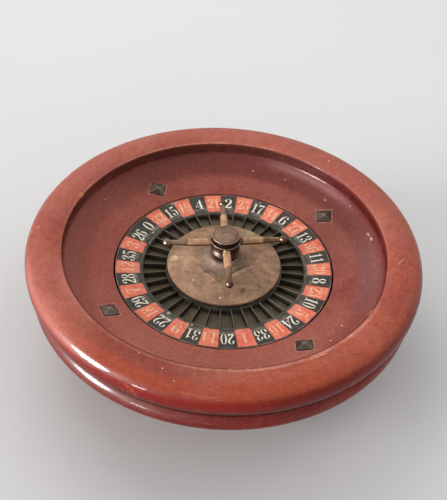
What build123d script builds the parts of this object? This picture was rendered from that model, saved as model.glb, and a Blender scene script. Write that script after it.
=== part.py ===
"""Tabletop roulette wheel: a turned wooden bowl on a foot, and a brass-topped wheel head that spins in it.

Millimetres, +Z up. The origin is on the wheel's axis, at the surface that the foot stands on.
Outlines of turned pieces are drawn in the XZ plane as (radius, height) and revolved about Z.
"""

import os
from math import atan2, cos, degrees, radians, sin, tan

from build123d import *

# ---------------------------------------------------------------- driving dimensions: bowl
overall_diameter = 330.0        # across the nose of the rim
rim_width = 30.5                # from the nose in to the rim's upright inner wall
rim_wall_height = 11.5          # inner wall above the ball track
rim_edge_round = 1.4            # rounding of the rim's inner edge
nose_radius = 14.0              # round nose of the rim
nose_drop = 9.5                 # nose's centre below the rim's inner edge
shoulder_radius = 8.0           # tighter round from the nose to the nearly flat top
shoulder_start = 37.0           # degrees above level, seen from the nose's centre
shoulder_turn = 41.0            # degrees
bead_radius = 9.25              # smaller moulding under the nose
bead_inset = 3.0                # how far the bead stays inside the nose
groove_height = 0.75            # gap between the nose and the bead
groove_depth = 2.5              # how far the groove goes in past the nose's centre
track_width = 20.5              # hollow ball track, from the rim in to the flat apron
track_rise = 11.0
apron_width = 19.7              # flat sloping apron, from the track in to the wheel head
apron_rise = 5.6
apron_step = 0.7                # apron's inner edge above the number ring
track_thickness = 5.9           # apron at its inner edge
ledge_width = 22.5              # ledge that the ball track lies on
moulding_height = 20.5          # from the rim's joint down to the pedestal's joint
wood_fit = 0.15                 # radial fit of one turned ring in another

# pedestal, foot and base board
pedestal_inset = 4.5            # pedestal's top edge inside the nose's centre
pedestal_neck_radius = 106.0
pedestal_neck_height = 7.5      # upright neck above the foot ring
pedestal_bulge = 9.0            # how far the pedestal's side swells past a straight line
foot_radius = 7.0               # round of the foot
foot_width = 14.0               # flat part of the foot ring, inside its round
felt_thickness = 2.5
felt_inset = 2.0                # felt stays clear of the foot's inner edge
floor_thickness = 13.5          # inside floor of the pedestal, on the foot ring
board_thickness = 6.0
board_fit = 0.4

# deflectors on the apron
deflector_side = 12.5
deflector_edge = 1.0            # upright edge under the pyramid
deflector_rise = 2.9            # pyramid above that edge
deflector_tip = 0.9             # small flat at the top
deflector_inset = 3.6           # its middle, in from where the apron meets the track
deflector_start = 37.2          # angle of the first one, degrees
deflector_turns = (-5.0, -5.0, 28.0, 4.0)   # each is turned about its own spike, degrees from X
deflector_seat = 0.5            # let into the apron
deflector_fit = 0.1
spike_radius = 1.2
spike_length = 4.5

# ---------------------------------------------------------------- driving dimensions: wheel head
pocket_count = 37
zero_angle = 148.43             # middle of the zero pocket at rest, degrees
running_gap = 1.6               # between the apron and the wheel head
ring_width = 23.5               # number ring with its hoop
ring_rise = 2.6                 # number ring's outer edge above its inner edge
ring_thickness = 1.5
pocket_length = 19.3            # along the wheel's radius
pocket_depth = 6.0
band_thickness = 0.6            # hoop round the number ring, and the pockets' outer wall
inner_band_thickness = 0.9
inner_band_stand = 0.2          # inner band above the frets
fret_thickness = 0.6
fret_fit = 0.12
pocket_floor_thickness = 1.2
disc_thickness = 5.4
cone_edge_inset = 1.3           # cone's edge inside the pockets
cone_edge_rise = 4.2            # cone's edge above the pockets
cone_overhang = 0.6             # cone past the wooden block under it
cone_lip = 1.4                  # upright lip at the cone's edge
cone_slope_rise = 5.7           # from the edge to the collar
cone_collar_radius = 20.0       # where the cone starts to sweep up
cone_neck_radius = 13.0
cone_neck_rise = 5.5            # from the collar to the turret
cone_wall = 1.2

# turret on the cone
barrel_foot_radius = 10.6
barrel_ring_radius = 12.2       # convex ring near the barrel's foot
barrel_ring_low = 3.8           # heights of the ring above the barrel's foot
barrel_ring_high = 7.6
barrel_waist_radius = 10.9      # hollow band that the arms leave from
barrel_lip_radius = 12.4
barrel_lip = 0.7
barrel_height = 16.5
cap_radius = 11.7
cap_thickness = 0.9
cap_dome = 0.4
cap_neck_radius = 9.2
cap_neck_height = 4.1
cap_stud_radius = 3.0
cap_stud_length = 6.0
base_stud_radius = 4.0
base_stud_length = 9.0
thread_fit = 0.05

# arms
arm_angles = (10.0, 96.0, 187.0, 276.5)     # drilled by hand, so not quite square
arm_drop = 3.0                  # arm's axis below the barrel's top
arm_radius = 3.25
arm_root_gap = 0.3              # root stands clear of the barrel's lip
arm_root_length = 1.0
arm_root_radius = 3.45
arm_grip_end = 31.5             # end of the cylindrical grip, from the wheel's axis
arm_taper_start_radius = 3.0
arm_neck_radius = 1.95
arm_ball_radius = 3.35
arm_ball_centre = 49.0
arm_spigot_radius = 2.4
arm_spigot_end = 5.5

# ---------------------------------------------------------------- driving dimensions: bearings
bearing_bore_radius = 4.0       # 608 size: 8 x 22 x 7
bearing_outer_radius = 11.0
bearing_width = 7.0
race_thickness = 2.0
ball_radius = 1.98
ball_count = 7
ball_gap = 0.08
cage_thickness = 1.2
cage_width = 5.0
shaft_fit = 0.02
upper_bearing_rise = 2.0        # upper bearing's lower face above the disc's underside
lower_bearing_drop = 14.0       # lower bearing's lower face below the disc's underside
spindle_shoulder_height = 16.0  # lower bearing's lower face above the pedestal's floor
housing_wall = 2.5
housing_shoulder = 1.5
housing_skirt = 2.0             # housing below the lower bearing
housing_rise = 7.0              # housing above the upper bearing
housing_fit = 0.1
housing_flange_radius = 26.0
housing_flange_thickness = 3.5
housing_screw_circle = 20.5
spindle_flange_radius = 28.0
spindle_flange_thickness = 5.0
spindle_foot_radius = 11.0
spindle_foot_height = 6.0
spindle_shoulder_radius = 5.8
spindle_screw_circle = 21.0
spindle_above_nut = 1.0
spindle_tip_chamfer = 0.4
washer_radius = 6.6
washer_thickness = 1.2
nut_sides = 6
nut_width = 13.0                # across flats
nut_height = 4.4
spacer_wall = 1.6
base_shoulder_height = 3.0
plug_wall = 1.9
plug_recess = 1.0               # room over the spindle's end
screw_count = 4

# wood screws
screw_shank_radius = 1.6
screw_head_radius = 3.4
screw_head_height = 2.2
screw_slot_width = 0.8
screw_slot_depth = 0.9
screw_fit = 0.08
spindle_screw_length = 14.0
housing_screw_length = 7.5
board_screw_length = 14.0
board_screw_inset = 21.6        # from the board's edge
board_screw_count = 6

# ---------------------------------------------------------------- places worked out from them
overall_radius = overall_diameter / 2
rim_inner_radius = overall_radius - rim_width
apron_turn_radius = rim_inner_radius - track_width
apron_inner_radius = apron_turn_radius - apron_width
ring_outer_radius = apron_inner_radius - running_gap
pocket_outer_radius = ring_outer_radius - ring_width
pocket_inner_radius = pocket_outer_radius - pocket_length
cone_edge_radius = pocket_inner_radius - cone_edge_inset
hub_radius = cone_edge_radius - cone_overhang
deflector_circle = apron_turn_radius - deflector_inset

foot_centre = (pedestal_neck_radius, felt_thickness + foot_radius)
foot_top = foot_centre[1] + foot_radius
foot_inner_radius = pedestal_neck_radius - foot_width
board_bottom = foot_top - board_thickness
board_radius = foot_inner_radius - board_fit
board_screw_circle = board_radius - board_screw_inset
floor_height = foot_top + floor_thickness
flange_top = floor_height + spindle_flange_thickness

lower_bearing_bottom = floor_height + spindle_shoulder_height
lower_bearing_top = lower_bearing_bottom + bearing_width
disc_bottom = lower_bearing_bottom + lower_bearing_drop
disc_top = disc_bottom + disc_thickness
upper_bearing_bottom = disc_bottom + upper_bearing_rise
upper_bearing_top = upper_bearing_bottom + bearing_width
pocket_floor_top = disc_top + pocket_floor_thickness
pocket_top = pocket_floor_top + pocket_depth
ring_outer_top = pocket_top + ring_rise
cone_edge_top = pocket_top + cone_edge_rise
hub_top = cone_edge_top - cone_lip
cone_collar_top = cone_edge_top + cone_slope_rise
cone_top = cone_collar_top + cone_neck_rise

apron_inner = (apron_inner_radius, ring_outer_top + apron_step)
apron_turn = (apron_turn_radius, apron_inner[1] + apron_rise)
apron_slope = atan2(apron_rise, apron_width)
track_edge = (rim_inner_radius - wood_fit, apron_turn[1] + track_rise)
track_bottom = apron_inner[1] - track_thickness
rim_edge = (rim_inner_radius, track_edge[1] + rim_wall_height)
nose_centre = (overall_radius - nose_radius, rim_edge[1] - nose_drop)
joint_height = nose_centre[1] - nose_radius
bead_centre = (overall_radius - bead_inset - bead_radius, joint_height - groove_height - bead_radius)
moulding_neck = nose_centre[0] - groove_depth
ledge_inner_radius = rim_inner_radius - ledge_width
moulding_bottom = joint_height - moulding_height

wall_outer_radius = pocket_outer_radius + band_thickness
band_inner_radius = pocket_inner_radius - inner_band_thickness
seat_outer_radius = ring_outer_radius - band_thickness

housing_radius = bearing_outer_radius + housing_wall
housing_shoulder_radius = bearing_outer_radius - housing_shoulder
housing_bottom = lower_bearing_bottom - housing_skirt
housing_top = upper_bearing_top + housing_rise
nut_bottom = upper_bearing_top + washer_thickness
ball_circle = (bearing_bore_radius + bearing_outer_radius) / 2

barrel_top = cone_top + barrel_height
arm_height = barrel_top - arm_drop
cap_bottom = barrel_top + cap_neck_height
cap_top = cap_bottom + cap_thickness
arm_root = barrel_lip_radius + arm_root_gap
arm_root_end = arm_root + arm_root_length
arm_ball_start = arm_ball_centre - (arm_ball_radius**2 - arm_neck_radius**2) ** 0.5

top_down = (Align.CENTER, Align.CENTER, Align.MAX)
bottom_up = (Align.CENTER, Align.CENTER, Align.MIN)


def turned(*outline):
    """Turns the closed outline of (radius, height) points about Z, in the piece being built."""
    with BuildSketch(Plane.XZ) as section:
        with BuildLine():
            Polyline(*outline, close=True)
        make_face()
    revolve(section.sketch, axis=Axis.Z)


def ring(inner_radius, outer_radius, bottom, top):
    """Turns a plain ring, in the piece being built."""
    turned((inner_radius, bottom), (outer_radius, bottom), (outer_radius, top), (inner_radius, top))


def screws(circle, count, length, clearance=0.0, mode=Mode.ADD):
    """Countersunk screws pointing down from the working plane, or the holes for them, on a circle."""
    with PolarLocations(circle, count):
        Cylinder(screw_shank_radius + clearance, length + clearance, align=top_down, mode=mode)
        Cone(
            screw_shank_radius + clearance,
            screw_head_radius + clearance,
            screw_head_height,
            align=top_down,
            mode=mode,
        )


def slots(circle, count):
    """Cuts the screwdriver slots of those screws."""
    with PolarLocations(circle, count):
        Box(2 * screw_head_radius, screw_slot_width, screw_slot_depth, align=top_down, mode=Mode.SUBTRACT)


def arm_end_plane(angle, distance):
    """The plane square to an arm, that far from the wheel's axis and facing outwards."""
    return Plane(origin=(0, 0, arm_height), z_dir=Vector(1, 0, 0).rotate(Axis.Z, angle)).offset(distance)


def save(piece, name):
    """Names a finished piece and writes it."""
    piece.part.label = name
    export_step(piece.part, f"parts/{name}.step")


os.makedirs("parts", exist_ok=True)

# ---------------------------------------------------------------- rim, moulding and ball track
with BuildPart() as rim:
    with BuildSketch(Plane.XZ):
        with BuildLine():
            nose = CenterArc(nose_centre, nose_radius, -90, 90 + shoulder_start)
            shoulder = JernArc(nose @ 1, nose % 1, shoulder_radius, shoulder_turn)
            top = TangentArc(shoulder @ 1, rim_edge, tangent=shoulder % 1)
            Polyline(top @ 1, (rim_inner_radius, joint_height), nose @ 0)
        make_face()
    revolve(axis=Axis.Z)
    wall_edges = rim.edges().filter_by(GeomType.CIRCLE).filter_by(
        lambda edge: abs(edge.radius - rim_inner_radius) < wood_fit
    )
    fillet(wall_edges.sort_by(Axis.Z)[-1], rim_edge_round)
save(rim, "rim")

bead_past_neck = bead_centre[0] - moulding_neck
bead_start = degrees(atan2(-(bead_radius**2 - bead_past_neck**2) ** 0.5, -bead_past_neck))
with BuildPart() as lower_moulding:
    with BuildSketch(Plane.XZ):
        with BuildLine():
            bead = CenterArc(bead_centre, bead_radius, bead_start, -2 * bead_start)
            Polyline(
                bead @ 1,
                (moulding_neck, joint_height),
                (rim_inner_radius, joint_height),
                (rim_inner_radius, moulding_bottom),
                (moulding_neck, moulding_bottom),
                bead @ 0,
            )
        make_face()
    revolve(axis=Axis.Z)
save(lower_moulding, "lower_moulding")

with BuildPart() as track_ledge:
    ring(ledge_inner_radius, rim_inner_radius - wood_fit, moulding_bottom, track_bottom)
save(track_ledge, "track_ledge")


def deflector_plane(index):
    """The plane of one deflector's base: on the apron's slope, turned about its spike."""
    angle = radians(deflector_start + 90 * index)
    height = apron_inner[1] + (deflector_circle - apron_inner[0]) * tan(apron_slope)
    normal = (-sin(apron_slope) * cos(angle), -sin(apron_slope) * sin(angle), cos(apron_slope))
    turn = radians(deflector_turns[index])
    along = (cos(turn), sin(turn), -(normal[0] * cos(turn) + normal[1] * sin(turn)) / normal[2])
    centre = (deflector_circle * cos(angle), deflector_circle * sin(angle), height)
    return Plane(origin=centre, x_dir=along, z_dir=normal).offset(-deflector_seat)


deflector_planes = [deflector_plane(index) for index in range(len(deflector_turns))]

with BuildPart() as track_ring:
    with BuildSketch(Plane.XZ):
        with BuildLine():
            apron = Line(apron_inner, apron_turn)
            track = TangentArc(apron_turn, track_edge, tangent=apron % 1)
            Polyline(
                track @ 1,
                (track_edge[0], track_bottom),
                (apron_inner[0], track_bottom),
                apron @ 0,
            )
        make_face()
    revolve(axis=Axis.Z)
    for plane in deflector_planes:
        with BuildSketch(plane):
            Rectangle(deflector_side + 2 * deflector_fit, deflector_side + 2 * deflector_fit)
        extrude(amount=deflector_edge + deflector_rise, mode=Mode.SUBTRACT)
        with BuildSketch(plane):
            Circle(spike_radius + deflector_fit)
        extrude(amount=-(spike_length + deflector_fit), mode=Mode.SUBTRACT)
save(track_ring, "track_ring")

for number, plane in enumerate(deflector_planes, start=1):
    with BuildPart() as deflector:
        with BuildSketch(plane):
            Rectangle(deflector_side, deflector_side)
        extrude(amount=deflector_edge)
        with BuildSketch(plane.offset(deflector_edge)):
            Rectangle(deflector_side, deflector_side)
        with BuildSketch(plane.offset(deflector_edge + deflector_rise)):
            Rectangle(deflector_tip, deflector_tip)
        loft()
        with BuildSketch(plane):
            Circle(spike_radius)
        extrude(amount=-spike_length)
    save(deflector, f"deflector_{number}")

# ---------------------------------------------------------------- pedestal, base board and felt
pedestal_top_radius = nose_centre[0] - pedestal_inset
pedestal_neck_top = foot_top + pedestal_neck_height
side_run = pedestal_top_radius - pedestal_neck_radius
side_fall = moulding_bottom - pedestal_neck_top
side_length = (side_run**2 + side_fall**2) ** 0.5
bulge_point = (
    pedestal_neck_radius + side_run / 2 + pedestal_bulge * side_fall / side_length,
    pedestal_neck_top + side_fall / 2 - pedestal_bulge * side_run / side_length,
)

with BuildPart(Plane.XY.offset(flange_top)) as underbody:
    with BuildSketch(Plane.XZ):
        with BuildLine():
            side = ThreePointArc(
                (pedestal_top_radius, moulding_bottom),
                bulge_point,
                (pedestal_neck_radius, pedestal_neck_top),
            )
            Polyline(
                side @ 1,
                (pedestal_neck_radius, foot_top),
                (0, foot_top),
                (0, floor_height),
                (foot_inner_radius, floor_height),
                (ledge_inner_radius, moulding_bottom),
                side @ 0,
            )
        make_face()
    revolve(axis=Axis.Z)
    screws(spindle_screw_circle, screw_count, spindle_screw_length, screw_fit, Mode.SUBTRACT)
    with Locations(Location((0, 0, board_bottom - flange_top), (180, 0, 0))):
        screws(board_screw_circle, board_screw_count, board_screw_length, screw_fit, Mode.SUBTRACT)
save(underbody, "underbody")

with BuildPart() as foot_ring:
    with BuildSketch(Plane.XZ):
        with BuildLine():
            foot = CenterArc(foot_centre, foot_radius, -90, 180)
            Polyline(
                foot @ 1,
                (foot_inner_radius, foot_top),
                (foot_inner_radius, felt_thickness),
                foot @ 0,
            )
        make_face()
    revolve(axis=Axis.Z)
save(foot_ring, "foot_ring")

with BuildPart(Plane.XY.offset(board_bottom).rotated((180, 0, 0))) as base_board:
    Cylinder(board_radius, board_thickness, align=top_down)
    screws(board_screw_circle, board_screw_count, board_screw_length, screw_fit, Mode.SUBTRACT)
save(base_board, "base_board")

with BuildPart(Plane.XY.offset(board_bottom).rotated((180, 0, 0))) as base_screws:
    screws(board_screw_circle, board_screw_count, board_screw_length)
    slots(board_screw_circle, board_screw_count)
save(base_screws, "base_screws")

with BuildPart() as felt_ring:
    ring(foot_inner_radius + felt_inset, pedestal_neck_radius, 0, felt_thickness)
save(felt_ring, "felt_ring")

# ---------------------------------------------------------------- spindle and what is clamped on it
spindle_top = nut_bottom + nut_height + spindle_above_nut

with BuildPart(Plane.XY.offset(flange_top)) as spindle:
    turned(
        (0, floor_height),
        (spindle_flange_radius, floor_height),
        (spindle_flange_radius, flange_top),
        (spindle_foot_radius, flange_top),
        (spindle_shoulder_radius, flange_top + spindle_foot_height),
        (spindle_shoulder_radius, lower_bearing_bottom),
        (bearing_bore_radius, lower_bearing_bottom),
        (bearing_bore_radius, spindle_top),
        (0, spindle_top),
    )
    chamfer(spindle.edges().sort_by(Axis.Z)[-1], spindle_tip_chamfer)
    screws(spindle_screw_circle, screw_count, spindle_screw_length, screw_fit, Mode.SUBTRACT)
save(spindle, "spindle")

with BuildPart(Plane.XY.offset(flange_top)) as spindle_screws:
    screws(spindle_screw_circle, screw_count, spindle_screw_length)
    slots(spindle_screw_circle, screw_count)
save(spindle_screws, "spindle_screws")

clamped_bore = bearing_bore_radius + shaft_fit
with BuildPart() as spindle_spacer:
    ring(clamped_bore, bearing_bore_radius + spacer_wall, lower_bearing_top, upper_bearing_bottom)
save(spindle_spacer, "spindle_spacer")

with BuildPart() as spindle_washer:
    ring(clamped_bore, washer_radius, upper_bearing_top, nut_bottom)
save(spindle_washer, "spindle_washer")

with BuildPart() as spindle_nut:
    with BuildSketch(Plane.XY.offset(nut_bottom)):
        RegularPolygon(nut_width / 2, nut_sides, major_radius=False)
        Circle(clamped_bore, mode=Mode.SUBTRACT)
    extrude(amount=nut_height)
save(spindle_nut, "spindle_nut")


# ---------------------------------------------------------------- ball bearings
def bearing(name, bottom):
    """Writes one ball bearing as its two races, its balls and its cage."""
    middle = bottom + bearing_width / 2
    top = bottom + bearing_width
    groove_radius = ball_radius + ball_gap

    def race(inner_radius, outer_radius, piece_name):
        with BuildPart() as race_ring:
            ring(inner_radius, outer_radius, bottom, top)
            with BuildSketch(Plane.XZ):
                with Locations((ball_circle, middle)):
                    Circle(groove_radius)
            revolve(axis=Axis.Z, mode=Mode.SUBTRACT)
        save(race_ring, piece_name)

    race(clamped_bore, bearing_bore_radius + race_thickness, f"{name}_inner_race")
    race(bearing_outer_radius - race_thickness, bearing_outer_radius - shaft_fit, f"{name}_outer_race")

    with BuildPart(Plane.XY.offset(middle)) as balls:
        with PolarLocations(ball_circle, ball_count):
            Sphere(ball_radius)
    save(balls, f"{name}_bearing_balls")

    with BuildPart(Plane.XY.offset(middle)) as cage:
        Cylinder(ball_circle + cage_thickness / 2, cage_width)
        Cylinder(ball_circle - cage_thickness / 2, cage_width, mode=Mode.SUBTRACT)
        with PolarLocations(ball_circle, ball_count):
            Cylinder(groove_radius, 2 * cage_thickness, rotation=(0, 90, 0), mode=Mode.SUBTRACT)
    save(cage, f"{name}_bearing_cage")


bearing("lower", lower_bearing_bottom)
bearing("upper", upper_bearing_bottom)

# ---------------------------------------------------------------- wheel head: bearing housing and wooden core
flange_bottom = disc_bottom - housing_flange_thickness
with BuildPart(Plane.XY.offset(flange_bottom).rotated((180, 0, 0))) as bearing_housing:
    turned(
        (bearing_outer_radius, housing_bottom),
        (housing_radius, housing_bottom),
        (housing_radius, flange_bottom),
        (housing_flange_radius, flange_bottom),
        (housing_flange_radius, disc_bottom),
        (housing_radius, disc_bottom),
        (housing_radius, housing_top),
        (bearing_outer_radius, housing_top),
        (bearing_outer_radius, upper_bearing_bottom),
        (housing_shoulder_radius, upper_bearing_bottom),
        (housing_shoulder_radius, lower_bearing_top),
        (bearing_outer_radius, lower_bearing_top),
    )
    screws(housing_screw_circle, screw_count, housing_screw_length, screw_fit, Mode.SUBTRACT)
save(bearing_housing, "bearing_housing")

with BuildPart(Plane.XY.offset(flange_bottom).rotated((180, 0, 0))) as housing_screws:
    screws(housing_screw_circle, screw_count, housing_screw_length)
    slots(housing_screw_circle, screw_count)
save(housing_screws, "housing_screws")

core_bore = housing_radius + housing_fit
with BuildPart(Plane.XY.offset(flange_bottom).rotated((180, 0, 0))) as rotor_disc:
    ring(core_bore, seat_outer_radius, disc_bottom, disc_top)
    screws(housing_screw_circle, screw_count, housing_screw_length, screw_fit, Mode.SUBTRACT)
save(rotor_disc, "rotor_disc")

with BuildPart() as hub_block:
    turned(
        (core_bore, disc_top),
        (band_inner_radius, disc_top),
        (band_inner_radius, pocket_top),
        (hub_radius, pocket_top),
        (hub_radius, hub_top),
        (core_bore, hub_top),
    )
save(hub_block, "hub_block")

with BuildPart() as number_seat:
    turned(
        (wall_outer_radius, disc_top),
        (seat_outer_radius, disc_top),
        (seat_outer_radius, ring_outer_top - ring_thickness),
        (wall_outer_radius, pocket_top - ring_thickness),
    )
save(number_seat, "number_seat")

# ---------------------------------------------------------------- wheel head: number ring and pockets
with BuildPart() as number_ring:
    turned(
        (wall_outer_radius, pocket_top - ring_thickness),
        (seat_outer_radius, ring_outer_top - ring_thickness),
        (seat_outer_radius, ring_outer_top),
        (wall_outer_radius, pocket_top),
    )
save(number_ring, "number_ring")

with BuildPart() as edge_band:
    ring(seat_outer_radius, ring_outer_radius, disc_top, ring_outer_top)
save(edge_band, "edge_band")

with BuildPart() as pocket_floor:
    ring(band_inner_radius, wall_outer_radius, disc_top, pocket_floor_top)
save(pocket_floor, "pocket_floor")

with BuildPart() as pocket_wall:
    ring(pocket_outer_radius, wall_outer_radius, pocket_floor_top, pocket_top)
save(pocket_wall, "pocket_wall")

with BuildPart() as pocket_band:
    ring(band_inner_radius, pocket_inner_radius, pocket_floor_top, pocket_top + inner_band_stand)
save(pocket_band, "pocket_band")

pocket_step = 360 / pocket_count
fret_length = pocket_length - 2 * fret_fit
fret_circle = (pocket_outer_radius + pocket_inner_radius) / 2
with BuildPart(Plane.XY.offset(pocket_floor_top)) as frets:
    with PolarLocations(fret_circle, pocket_count, start_angle=zero_angle + pocket_step / 2):
        Box(fret_length, fret_thickness, pocket_depth, align=bottom_up)
save(frets, "frets")

# ---------------------------------------------------------------- wheel head: cone and turret
cone_bore = base_stud_radius + thread_fit
with BuildPart() as cone:
    with BuildSketch(Plane.XZ):
        with BuildLine():
            lip = Line((cone_edge_radius, hub_top), (cone_edge_radius, cone_edge_top))
            slope = Line(lip @ 1, (cone_collar_radius, cone_collar_top))
            sweep_up = TangentArc(slope @ 1, (cone_neck_radius, cone_top), tangent=slope % 1)
            Line(sweep_up @ 1, (cone_bore, cone_top))
            offset(amount=cone_wall, side=Side.LEFT)
        make_face()
    revolve(axis=Axis.Z)
save(cone, "cone")

plug_radius = bearing_outer_radius - thread_fit
base_shoulder_top = housing_top + base_shoulder_height
with BuildPart() as turret_base:
    turned(
        (0, housing_top + plug_recess),
        (plug_radius - plug_wall, housing_top + plug_recess),
        (plug_radius - plug_wall, upper_bearing_top),
        (plug_radius, upper_bearing_top),
        (plug_radius, housing_top),
        (housing_radius, housing_top),
        (housing_radius, base_shoulder_top),
        (barrel_foot_radius, base_shoulder_top),
        (barrel_foot_radius, cone_top - cone_wall),
        (base_stud_radius, cone_top - cone_wall),
        (base_stud_radius, cone_top + base_stud_length),
        (0, cone_top + base_stud_length),
    )
save(turret_base, "turret_base")

ring_low = cone_top + barrel_ring_low
ring_high = cone_top + barrel_ring_high
lip_bottom = barrel_top - barrel_lip
with BuildPart() as turret_barrel:
    with BuildSketch(Plane.XZ):
        with BuildLine():
            ring_arc = ThreePointArc(
                (barrel_waist_radius, ring_low),
                (barrel_ring_radius, (ring_low + ring_high) / 2),
                (barrel_waist_radius, ring_high),
            )
            waist = ThreePointArc(
                (barrel_ring_radius, ring_high + barrel_lip),
                (barrel_waist_radius, (ring_high + lip_bottom) / 2),
                (barrel_lip_radius, lip_bottom),
            )
            Line(ring_arc @ 1, waist @ 0)
            Polyline(
                waist @ 1,
                (barrel_lip_radius, barrel_top),
                (0, barrel_top),
                (0, cone_top),
                (barrel_foot_radius, cone_top),
                ring_arc @ 0,
            )
        make_face()
    revolve(axis=Axis.Z)
    with Locations((0, 0, cone_top)):
        Cylinder(cone_bore, base_stud_length + thread_fit, align=bottom_up, mode=Mode.SUBTRACT)
    with Locations((0, 0, barrel_top)):
        Cylinder(
            cap_stud_radius + thread_fit,
            cap_stud_length + thread_fit,
            align=top_down,
            mode=Mode.SUBTRACT,
        )
    for angle in arm_angles:
        with BuildSketch(arm_end_plane(angle, arm_spigot_end - thread_fit)):
            Circle(arm_spigot_radius + thread_fit)
        extrude(amount=barrel_lip_radius, mode=Mode.SUBTRACT)
save(turret_barrel, "turret_barrel")

with BuildPart() as turret_cap:
    with BuildSketch(Plane.XZ):
        with BuildLine():
            dome = TangentArc((0, cap_top + cap_dome), (cap_radius, cap_top), tangent=(1, 0))
            Polyline(
                dome @ 1,
                (cap_radius, cap_bottom),
                (cap_neck_radius, cap_bottom),
                (cap_neck_radius, barrel_top),
                (cap_stud_radius, barrel_top),
                (cap_stud_radius, barrel_top - cap_stud_length),
                (0, barrel_top - cap_stud_length),
                dome @ 0,
            )
        make_face()
    revolve(axis=Axis.Z)
save(turret_cap, "turret_cap")

# ---------------------------------------------------------------- arms
for number, angle in enumerate(arm_angles, start=1):
    along = Vector(1, 0, 0).rotate(Axis.Z, angle)
    arm_plane = Plane(origin=(0, 0, arm_height), x_dir=along, z_dir=along.cross(Vector(0, 0, 1)))
    with BuildPart() as handle_arm:
        with BuildSketch(arm_plane):
            with BuildLine():
                ball = ThreePointArc(
                    (arm_ball_start, arm_neck_radius),
                    (arm_ball_centre, arm_ball_radius),
                    (arm_ball_centre + arm_ball_radius, 0),
                )
                Polyline(
                    ball @ 1,
                    (arm_spigot_end, 0),
                    (arm_spigot_end, arm_spigot_radius),
                    (arm_root, arm_spigot_radius),
                    (arm_root, arm_root_radius),
                    (arm_root_end, arm_root_radius),
                    (arm_root_end, arm_radius),
                    (arm_grip_end, arm_radius),
                    (arm_grip_end, arm_taper_start_radius),
                    ball @ 0,
                )
            make_face()
        revolve(axis=Axis((0, 0, arm_height), along))
    save(handle_arm, f"handle_arm_{number}")
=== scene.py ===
import random
from math import asin, atan2, ceil, cos, degrees, exp, hypot, pi, radians, sin, tan, tau

import bmesh
import bpy
from mathutils import Matrix, Vector, noise
from mathutils.geometry import tessellate_polygon


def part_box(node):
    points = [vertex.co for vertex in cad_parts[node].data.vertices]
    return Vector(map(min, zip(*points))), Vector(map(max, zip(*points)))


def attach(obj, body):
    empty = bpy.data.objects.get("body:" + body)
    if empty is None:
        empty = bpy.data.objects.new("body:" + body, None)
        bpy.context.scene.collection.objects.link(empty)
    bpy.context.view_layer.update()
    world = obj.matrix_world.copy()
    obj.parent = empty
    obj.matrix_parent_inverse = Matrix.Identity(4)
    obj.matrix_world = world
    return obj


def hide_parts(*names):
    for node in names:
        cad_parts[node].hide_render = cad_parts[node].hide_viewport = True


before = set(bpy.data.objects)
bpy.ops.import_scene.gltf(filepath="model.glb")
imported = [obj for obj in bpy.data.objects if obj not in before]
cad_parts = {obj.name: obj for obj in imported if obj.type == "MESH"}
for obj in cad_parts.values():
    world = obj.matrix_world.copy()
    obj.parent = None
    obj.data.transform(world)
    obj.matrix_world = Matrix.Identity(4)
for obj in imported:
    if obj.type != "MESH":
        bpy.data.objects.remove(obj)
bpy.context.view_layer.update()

# Outlines are in millimetres, as (distance from the axis, height). Everything in Blender is in metres.
MM = 0.001

# ---- sizes read from the frame
def reach(node):
    """Outer radius, lowest and highest point of a turned node, in millimetres."""
    low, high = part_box(node)
    return high.x / MM, low.z / MM, high.z / MM


rim_radius, rim_bottom, _ = reach("rim")
bead_reach, moulding_bottom, moulding_top = reach("lower_moulding")
track_radius, track_bottom, track_top = reach("track_ring")
pedestal_radius, _, pedestal_top = reach("underbody")
foot_reach, foot_bottom, foot_top = reach("foot_ring")
felt_radius, table_height, felt_top = reach("felt_ring")
ring_radius, _, ring_top = reach("number_ring")
band_radius, band_bottom, band_top = reach("edge_band")
wall_radius, pocket_floor_top, pocket_top = reach("pocket_wall")
_, inner_band_bottom, inner_band_top = reach("pocket_band")
floor_radius, floor_bottom, floor_top = reach("pocket_floor")
cone_radius, cone_bottom, cone_top = reach("cone")
barrel_radius, barrel_bottom, barrel_top = reach("turret_barrel")
cap_radius, _, cap_crown = reach("turret_cap")

# ---- sizes of the turned wood
RIM_INNER = 134.5
RIM_EDGE = 104
RIM_EDGE_ROUND = 1.4
NOSE = 14
SHOULDER = (8, 37, 41)  # radius, first angle above level and turn of the round above the nose
BEAD = 9.25
NECK_IN = 2.5
MOULDING_FLAT = 0.75  # flat above the bead
LEDGE = 22.5
COVE = 8.5  # hollow where the ball track meets the rim's wall
APRON_INNER = (94.3, 75.9)
APRON_TURN = (114, 81.5)
FOOT = 7
FOOT_WIDTH = 14
FELT_WIDTH = 12
FELT_IN = 0.3  # the felt's cut edges stay this far inside the CAD ring
FELT_ROUNDING = (0.4, 0.4, 0.9, 0.9)  # of its corners, two below and two above
FELT_WANDER = 0.25  # how far its cut edges stray
FELT_CUTS = 24  # places round the ring where they change course
PEDESTAL_NECK_TOP = 24
PEDESTAL_BULGE = (128.99, 35.72)
HOLLOW_FLOOR = 30
SOFT_EDGE = 0.5  # rounding that sandpaper leaves on a turned corner
CRISP_EDGE = 0.2  # rounding of a turned metal corner

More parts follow.
